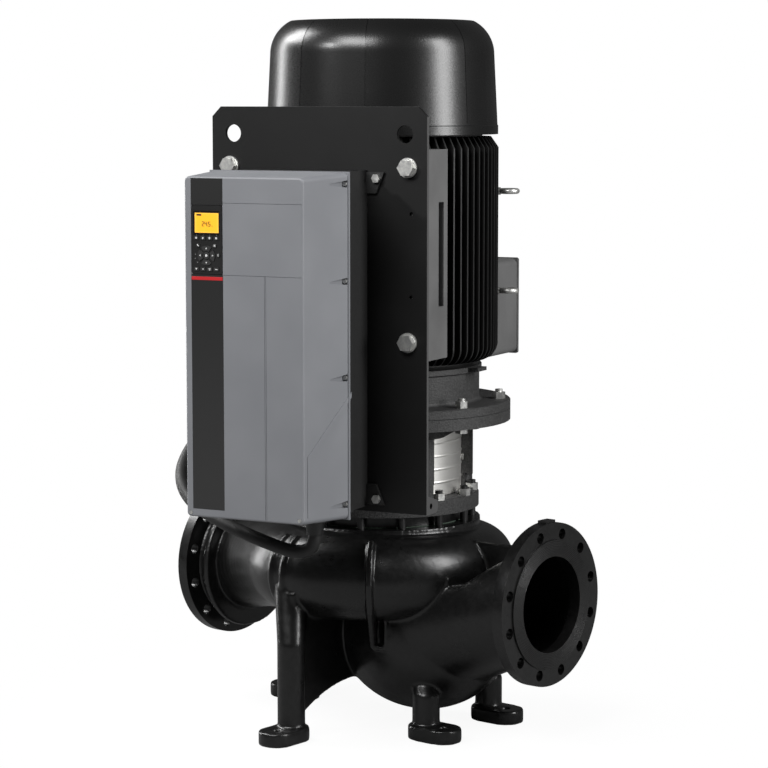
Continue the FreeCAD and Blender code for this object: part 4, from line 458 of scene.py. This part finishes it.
def plain_mark(name, color, rough):
    """A printed or inlaid mark with a slight mottle."""
    finish = Finish(name)
    mottle = finish.noise(900.0, 2.0)
    shade = finish.mix(mottle.smooth(0.3, 0.7), color, tuple(0.86 * part for part in color))
    return finish.surface(Base_Color=shade, Roughness=rough + 0.1 * mottle)


def gasket_fibre():
    """Green fibre sheet with its fibres along the joint."""
    finish = Finish("gasket_fibre")
    fibre = finish.noise(700.0, 4.0, 0.7, (1.0, 1.0, 4.0))
    color = finish.mix(fibre, (0.03, 0.05, 0.035), (0.07, 0.10, 0.075))
    return finish.surface(Base_Color=color, Roughness=0.75 + 0.1 * fibre, Normal=finish.bump(fibre, 0.0002))


def strip_print():
    """The charcoal strip, dark at its head and lighter towards its foot."""
    finish = Finish("charcoal_strip")
    z = finish.axes()[2]
    rise = z.smooth(STRIP_LOW, STRIP_HIGH - 0.1)
    skin = finish.noise(1400.0, 2.0)
    color = finish.mix(rise, grey(0.026), grey(0.012))
    normal = finish.bump(skin, 0.00004)
    return finish.surface(Base_Color=color, Roughness=0.34 + 0.1 * skin, Normal=normal)


FINISHES = {
    "cast_black": enamel_casting(),
    "cast_grey": sand_paint("sand_cast_grey", grey(0.006), grey(0.052)),
    "fin_black": fin_paint(),
    "cap_black": cap_paint(),
    "machined": drawn_metal("turned_steel", grey(0.42), grey(0.56), 0.26, (1.0, 1.0, 14.0)),
    "stainless": drawn_metal("brushed_stainless", (0.80, 0.79, 0.76), (0.92, 0.91, 0.88), 0.34,
                             (1.0, 1.0, 12.0)),
    "zinc": zinc_plate(),
    "iron_pack": drawn_metal("laminated_iron", grey(0.16), grey(0.26), 0.45, (0.4, 0.4, 9.0), 0.0003),
    "seal_face": moulded("dark_ceramic", grey(0.02), grey(0.03), 0.18),
    "gasket": gasket_fibre(),
    "fan_plastic": moulded("fan_plastic", grey(0.02), grey(0.035), 0.45),
    "bracket_grey": light_casting("grey_cast_feet", grey(0.085), grey(0.12)),
    "box_grey": light_casting("grey_terminal_box", grey(0.10), grey(0.13)),
    "plate_black": powder_plate(),
    "drive_grey": moulded("grey_drive_cover", (0.170, 0.175, 0.188), (0.188, 0.193, 0.206), 0.42),
    "sink_grey": sand_paint("heat_sink_paint", grey(0.007), grey(0.012), 0.00015, 0.42),
    "panel_black": moulded("charcoal_panel", grey(0.010), grey(0.014), 0.30),
    "key_grey": moulded("key_caps", grey(0.020), grey(0.028), 0.38),
    "screen": lit_screen(),
    "cable_black": rubber_sheath(),
    "gland_black": moulded("gland_nylon", grey(0.006), grey(0.012), 0.36),
}


def dress_nodes():
    """Gives every CAD node the finish of its slot."""
    slots = {item["node"]: item["material_slot"] for item in frame["record"]["subparts"]}
    for name, node in frame["nodes"].items():
        material = FINISHES[slots[name]]
        node.data.materials.clear()
        node.data.materials.append(material)


def mesh_piece(name, mesh, material, body=ROOT):
    """A new piece of the scene with its material and the body that it rides on."""
    piece = bpy.data.objects.new(name, mesh)
    scene.collection.objects.link(piece)
    mesh.materials.clear()
    mesh.materials.append(material)
    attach(piece, body)
    return piece


def apply_modifiers(piece):
    """Turns a piece's modifiers into plain mesh."""
    graph = bpy.context.evaluated_depsgraph_get()
    mesh = bpy.data.meshes.new_from_object(piece.evaluated_get(graph))
    old = piece.data
    piece.modifiers.clear()
    piece.data = mesh
    bpy.data.meshes.remove(old)


def cast_housing():
    """The housing between its flanges with cast roundings: remeshed, smoothed, its tube drawn round."""
    size, rounds = ((FINE_SKIN, FINE_ROUNDS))
    mesh = frame["nodes"]["pump_housing"].data.copy()
    piece = mesh_piece("cast_housing", mesh, FINISHES["cast_black"])
    remesh = piece.modifiers.new("skin", "REMESH")
    remesh.mode = "VOXEL"
    remesh.voxel_size = size
    apply_modifiers(piece)
    smooth_casting(piece, rounds[0])
    round_tube(piece.data)
    smooth_casting(piece, rounds[1])
    for side in (-1, 1):
        cut_across(piece.data, side, CASTING_END, False)
    for face in piece.data.polygons:
        face.use_smooth = True
    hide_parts("pump_housing")


def smooth_casting(piece, rounds):
    """Rounds off the corners of the rough casting."""
    group = piece.vertex_groups.new(name="cast")
    for vertex in piece.data.vertices:
        group.add([vertex.index], cast_share(vertex.co), "REPLACE")
    smooth = piece.modifiers.new("roundings", "SMOOTH")
    smooth.factor = 0.5
    smooth.iterations = rounds
    smooth.vertex_group = "cast"
    apply_modifiers(piece)
    piece.vertex_groups.clear()


def duct_course():
    """Middles and radii of the outlet duct's sections, from the tube to the flange."""
    turn = math.radians(TUBE_START)
    start = Vector((TUBE_PITCH * math.sin(turn), -TUBE_PITCH * math.cos(turn), TUBE_HEIGHT))
    leave = DUCT_PULL * Vector((-math.cos(turn), -math.sin(turn), 0))
    end = Vector((-FLANGE_BACK, 0, PIPE_AXIS))
    arrive = DUCT_PULL * Vector((-1, 0, 0))
    course = []
    for step in range(DUCT_STEPS + 1):
        u = step / DUCT_STEPS
        middle = (2 * u**3 - 3 * u**2 + 1) * start + (u**3 - 2 * u**2 + u) * leave
        middle += (3 * u**2 - 2 * u**3) * end + (u**3 - u**2) * arrive
        course.append((middle, TUBE_RADIUS + (DUCT_END - TUBE_RADIUS) * u))
    return course


def tube_middle(place, course):
    """The point nearest to a place on the middle line of the tube or the duct, and the radius there."""
    turn = math.degrees(math.atan2(place.x, -place.y))
    turn += 360 if turn < TUBE_END - 360 else 0
    if turn >= TUBE_START:
        radians = math.radians(turn)
        middle = Vector((TUBE_PITCH * math.sin(radians), -TUBE_PITCH * math.cos(radians), TUBE_HEIGHT))
        return middle, TUBE_RADIUS + (TUBE_TAIL - TUBE_RADIUS) * max(turn, 0) / TUBE_END
    index = min(range(len(course)), key=lambda k: (course[k][0] - place).length_squared)
    index = min(max(index, 1), len(course) - 2)
    before, after = course[index - 1][0], course[index + 1][0]
    way = after - before
    share = (place - before).dot(way) / way.length_squared
    radius = course[index - 1][1] + (course[index + 1][1] - course[index - 1][1]) * share
    return before + way * share, radius


def round_tube(mesh):
    """Draws the tube's skin out to its true round form, and leaves ribs and inner walls."""
    course = duct_course()
    places = []
    for vertex in mesh.vertices:
        place = vertex.co.copy()
        if abs(place.z - TUBE_HEIGHT) < TUBE_BAND and place.x > FLANGE_CLEAR - FLANGE_BACK:
            middle, radius = tube_middle(place, course)
            out = place - middle
            faces_out = out.normalized().dot(vertex.normal) > STRAIGHT_OUT
            if faces_out and -SKIN_BELOW < out.length - radius < SKIN_ABOVE:
                place = middle + out.normalized() * radius
        places.extend(place)
    mesh.vertices.foreach_set("co", places)
    mesh.update()


def cut_across(mesh, side, reach, keep_outer):
    """Cuts a mesh across the pipe axis and keeps its part beyond or before the cut."""
    form = bmesh.new()
    form.from_mesh(mesh)
    every = form.verts[:] + form.edges[:] + form.faces[:]
    bmesh.ops.bisect_plane(form, geom=every, plane_co=(side * reach, 0, 0), plane_no=(side, 0, 0),
                           clear_outer=not keep_outer, clear_inner=keep_outer)
    form.to_mesh(mesh)
    form.free()


def pipe_flanges():
    """The two machined flanges, with crisp edges and faces."""
    for name, side in (("suction_flange", 1), ("outlet_flange", -1)):
        mesh = frame["nodes"]["pump_housing"].data.copy()
        cut_across(mesh, side, FLANGE_START, True)
        piece = mesh_piece(name, mesh, FINISHES["cast_black"])
        for face in mesh.polygons:
            face.use_smooth = True
        mesh.set_sharp_from_angle(angle=CRISP_ANGLE)
        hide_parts("pump_housing")


def cast_share(place):
    """Is 1 on rough casting and falls to its least at the flanges and the joint face."""
    to_flange = FLANGE_BACK - FLANGE_CLEAR - abs(place.x)
    to_joint = JOINT_HEIGHT - place.z if math.hypot(place.x, place.y) < JOINT_RADIUS else 1.0
    return min(1.0, max(LEAST_SHARE, min(to_flange, to_joint) / FADE_LENGTH))


def motor_cable():
    """The cable from the drive round the plate to the terminal box."""
    curve = bpy.data.curves.new("motor_cable_sheath", "CURVE")
    curve.dimensions = "3D"
    curve.resolution_u = 12
    curve.bevel_depth = CABLE_RADIUS
    curve.bevel_resolution = 7
    curve.use_fill_caps = True
    spline = curve.splines.new("NURBS")
    spline.points.add(len(CABLE_ROUTE) - 1)
    for point, place in zip(spline.points, CABLE_ROUTE):
        point.co = (*in_unit(*place), 1.0)
    spline.order_u = 3
    spline.use_endpoint_u = True
    curve.materials.append(FINISHES["cable_black"])
    piece = bpy.data.objects.new("motor_cable_sheath", curve)
    scene.collection.objects.link(piece)
    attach(piece, ROOT)
    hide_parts("motor_cable")


def rounded_plate(low_x, high_x, low_z, high_z, back, front, corner):
    """A plate in the drive's front plane with rounded corners."""
    form = bmesh.new()
    steps = 6
    outline = []
    middles = ((high_x - corner, high_z - corner, 0), (low_x + corner, high_z - corner, 90),
               (low_x + corner, low_z + corner, 180), (high_x - corner, low_z + corner, 270))
    for x, z, start in middles:
        for step in range(steps + 1):
            angle = math.radians(start + 90 * step / steps)
            outline.append((x + corner * math.cos(angle), z + corner * math.sin(angle)))
    vertices = [form.verts.new(in_unit(x, back, z)) for x, z in outline]
    face = form.faces.new(vertices)
    raised = bmesh.ops.extrude_face_region(form, geom=[face])
    shift = in_unit(0, front, 0) - in_unit(0, back, 0)
    lifted = [item for item in raised["geom"] if isinstance(item, bmesh.types.BMVert)]
    bmesh.ops.translate(form, vec=shift, verts=lifted)
    bmesh.ops.recalc_face_normals(form, faces=form.faces)
    mesh = bpy.data.meshes.new("plate")
    form.to_mesh(mesh)
    form.free()
    return mesh


def bevel_piece(piece):
    """Breaks a piece's sharp edges."""
    bevel = piece.modifiers.new("edge", "BEVEL")
    bevel.width = FINE_BEVEL
    bevel.segments = 2
    bevel.limit_method = "ANGLE"
    apply_modifiers(piece)


def front_strip():
    """The charcoal strip in the cover's front and the red line below its panel."""
    dark = strip_print()
    low_x = PANEL_X - STRIP_HALF
    high_x = PANEL_X + STRIP_HALF
    spans = (("strip_foot", STRIP_LOW, PANEL_SPAN[0]), ("strip_head", PANEL_SPAN[1], STRIP_HIGH))
    back = DRIVE_FRONT + 0.001
    front = DRIVE_FRONT + 0.0001
    for name, low, high in spans:
        mesh = rounded_plate(low_x, high_x, low, high, back, front, STRIP_CORNER)
        bevel_piece(mesh_piece(name, mesh, dark))
    red = plain_mark("red_line", (0.50, 0.012, 0.016), 0.4)
    low = RED_LINE_MIDDLE - RED_LINE_WIDTH / 2
    high = RED_LINE_MIDDLE + RED_LINE_WIDTH / 2
    back = DRIVE_FRONT + 0.0003
    front = DRIVE_FRONT - 0.0004
    mesh = rounded_plate(low_x + RED_LINE_INSET, high_x - RED_LINE_INSET, low, high, back, front,
                         RED_LINE_CORNER)
    bevel_piece(mesh_piece("red_line", mesh, red))


def disc(x, z, radius):
    """A round outline about a middle."""
    turns = [2 * math.pi * k / DISC_POINTS for k in range(DISC_POINTS)]
    return [(x + radius * math.cos(turn), z + radius * math.sin(turn)) for turn in turns]


def bar(x, z, length, width, angle=0.0):
    """A rectangle about a middle, turned anticlockwise."""
    turn = Matrix.Rotation(math.radians(angle), 2)
    corners = ((-1, -1), (1, -1), (1, 1), (-1, 1))
    spots = [turn @ Vector((0.5 * length * right, 0.5 * width * up)) for right, up in corners]
    return [(x + spot.x, z + spot.y) for spot in spots]


def arrow(x, z, size, angle):
    """A triangle that points along an angle."""
    turns = [math.radians(angle + 120 * k) for k in range(3)]
    return [(x + size * math.cos(turn), z + size * math.sin(turn)) for turn in turns]


def marks(name, outlines, front, material, slot, body=ROOT):
    """Thin prints on the drive's front, from outlines in millimetres."""
    form = bmesh.new()
    for outline in outlines:
        rims = []
        for y in (front + PRINT_DEPTH, front - PRINT_RISE):
            rims.append([form.verts.new(in_unit(0.001 * x, y, 0.001 * z)) for x, z in outline])
        back, face = rims
        form.faces.new(face)
        for index in range(len(face)):
            form.faces.new((back[index - 1], back[index], face[index], face[index - 1]))
    bmesh.ops.recalc_face_normals(form, faces=form.faces)
    mesh = bpy.data.meshes.new(name)
    form.to_mesh(mesh)
    form.free()
    mesh_piece(name, mesh, material, body)


# The sign on each key, in millimetres on the drive's front.
KEY_MARKS = {
    "key_top_1": [disc(-102.9, 1062.6, 2.0)],
    "key_top_2": [disc(-88.0, 1062.6, 1.9)],
    "key_top_3": [disc(-73.1, 1062.6, 2.0)],
    "key_top_4": [disc(-58.2, 1062.6, 2.1)],
    "key_bottom_1": [arrow(-102.9, 1002.8, 2.6, 270)],
    "key_bottom_2": [disc(-88.0, 1002.4, 1.3)],
    "key_bottom_3": [bar(-73.1, 1003.2, 4.6, 1.4), bar(-73.1, 1001.0, 2.4, 1.4)],
    "key_bottom_4": [bar(-58.2, 1002.4, 5.0, 1.5)],
    "key_back": [bar(-99.1, 1048.2, 5.0, 2.0, -45)],
    "key_cancel": [bar(-61.9, 1048.2, 5.4, 1.2, 45), bar(-61.9, 1048.2, 5.4, 1.2, -45)],
    "key_info": [bar(-54.3, 1030.0, 1.4, 4.4)],
    "key_up": [arrow(-80.5, 1042.4, 2.3, 90)],
    "key_down": [arrow(-80.5, 1015.2, 2.3, 270)],
    "key_left": [arrow(-94.3, 1028.8, 2.3, 180)],
    "key_right": [arrow(-66.7, 1028.8, 2.3, 0)],
    "key_enter": [disc(-80.5, 1028.8, 2.6)],
}

# Bars of a numeral: middle across, middle up and angle, in halves of its width and height.
NUMERAL_BARS = {
    "top": (0, 1, 0), "middle": (0, 0, 0), "foot": (0, -1, 0), "left_up": (-1, 0.5, 90),
    "right_up": (1, 0.5, 90), "left_down": (-1, -0.5, 90), "right_down": (1, -0.5, 90),
}
NUMERALS = (
    ("top", "middle", "foot", "right_up", "left_down"),
    ("middle", "left_up", "right_up", "right_down"),
    ("top", "middle", "foot", "left_up", "right_down"),
)


def numeral(x, z, bars):
    """The bars of one numeral about its middle."""
    outlines = []
    for name in bars:
        across, up, angle = NUMERAL_BARS[name]
        length = 2 * NUMERAL_HALF_WIDTH + 0.6 if angle == 0 else NUMERAL_HALF_HEIGHT + 0.5
        middle = (x + across * NUMERAL_HALF_WIDTH, z + up * NUMERAL_HALF_HEIGHT)
        outlines.append(bar(*middle, length, NUMERAL_STROKE, angle))
    return outlines


def panel_prints():
    """Light signs on the keys, indicator dots, and a plain number on the screen."""
    white = plain_mark("white_print", (0.62, 0.62, 0.62), 0.4)
    dim = plain_mark("grey_print", (0.16, 0.16, 0.16), 0.4)
    brown = plain_mark("screen_ink", (0.016, 0.007, 0.002), 0.5)
    for key, outlines in KEY_MARKS.items():
        marks(f"{key}_sign", outlines, KEY_FRONT, white, "key_grey", f"{key}_body")
    dots = [disc(x, z, 1.2) for x, z in ((-105.5, 1030.5), (-106.0, 1022.5), (-101.0, 1015.0))]
    dots += [bar(x, 1068.2, 0.5, 3.0) for x in (-102.9, -88.0, -73.1, -58.2)]
    marks("indicator_dots", dots, PANEL_FRONT, dim, "panel_black")
    outlines = [disc(-78.4, 1085.8, 0.7)]
    for x, bars in zip(NUMERAL_MIDDLES, NUMERALS):
        outlines += numeral(x, NUMERAL_LEVEL, bars)
    outlines.append(bar(-97.5, 1107.0, 11.0, 3.4))
    outlines.append(bar(-68.5, 1085.9, 3.0, 0.9))
    marks("screen_number", outlines, SCREEN_FRONT, brown, "screen")


def studio():
    """Pale floor, soft lamps and the photo's camera."""
    just_below = (0, 0, -0.0005)
    bpy.ops.mesh.primitive_circle_add(vertices=96, radius=FLOOR_RADIUS, fill_type="NGON", location=just_below)
    floor = bpy.context.object
    floor.name = "studio_floor"
    floor.data.materials.append(floor_finish())
    for settings in LAMPS:
        lamp(*settings)
    world()
    camera_data = bpy.data.cameras.new("photo_camera")
    camera_data.lens = CAMERA_LENS
    camera_data.sensor_width = CAMERA_SENSOR
    camera_data.sensor_fit = "HORIZONTAL"
    camera_data.clip_end = 60.0
    camera = bpy.data.objects.new("photo_camera", camera_data)
    scene.collection.objects.link(camera)
    camera.location = CAMERA_PLACE
    camera.rotation_euler = (Vector(CAMERA_AIM) - Vector(CAMERA_PLACE)).to_track_quat("-Z", "Y").to_euler()
    scene.camera = camera
    scene.view_settings.view_transform = "Standard"


def lamp(name, place, aim, width, height, power):
    """A flat soft lamp that looks at its aim."""
    data = bpy.data.lights.new(name, "AREA")
    data.shape = "RECTANGLE"
    data.size = width
    data.size_y = height
    data.energy = power
    light = bpy.data.objects.new(name, data)
    scene.collection.objects.link(light)
    light.location = place
    light.rotation_euler = (Vector(aim) - Vector(place)).to_track_quat("-Z", "Y").to_euler()


def floor_finish():
    """White for the camera, with a trace of shade near the feet, and a grey floor for all other rays."""
    finish = Finish("pale_floor")
    x, y = finish.axes()[:2]
    reach = ((x * x) + (y * y)) ** 0.5
    speckle = finish.noise(60.0, 2.0)
    path = finish.tree.nodes.new("ShaderNodeLightPath")
    seen = Signal(finish, path.outputs["Is Camera Ray"])
    pale = finish.mix(speckle, grey(0.86), grey(0.88))
    shade = finish.mix(seen, grey(0.22), pale)
    diffuse = finish.node("ShaderNodeBsdfDiffuse", inputs={"Color": shade})
    white = finish.node("ShaderNodeEmission", inputs={"Color": (1, 1, 1, 1), "Strength": 1.0})
    far = reach.smooth(*FLOOR_SHADE_REACH)
    share = seen * (FLOOR_WHITE_NEAR + (1 - FLOOR_WHITE_NEAR) * far)
    both = finish.node("ShaderNodeMixShader", inputs={0: share, 1: diffuse, 2: white})
    finish.node("ShaderNodeOutputMaterial", inputs={"Surface": both})
    return finish.material


def world():
    """White behind the object, and a plain level of light from all round."""
    room = bpy.data.worlds.new("studio_room")
    scene.world = room
    room.use_nodes = True
    tree = room.node_tree
    tree.nodes.clear()
    path = tree.nodes.new("ShaderNodeLightPath")
    most = tree.nodes.new("ShaderNodeMath")
    most.operation = "MAXIMUM"
    tree.links.new(path.outputs["Is Camera Ray"], most.inputs[0])
    tree.links.new(path.outputs["Is Transmission Ray"], most.inputs[1])
    strength = tree.nodes.new("ShaderNodeMapRange")
    strength.inputs["To Min"].default_value = ROOM_LIGHT
    strength.inputs["To Max"].default_value = 1.0
    tree.links.new(most.outputs[0], strength.inputs["Value"])
    light = tree.nodes.new("ShaderNodeBackground")
    light.inputs["Color"].default_value = (1, 1, 1, 1)
    tree.links.new(strength.outputs[0], light.inputs["Strength"])
    out = tree.nodes.new("ShaderNodeOutputWorld")
    tree.links.new(light.outputs[0], out.inputs["Surface"])


studio()
dress_nodes()
motor_cable()
cast_housing()
pipe_flanges()
front_strip()
panel_prints()
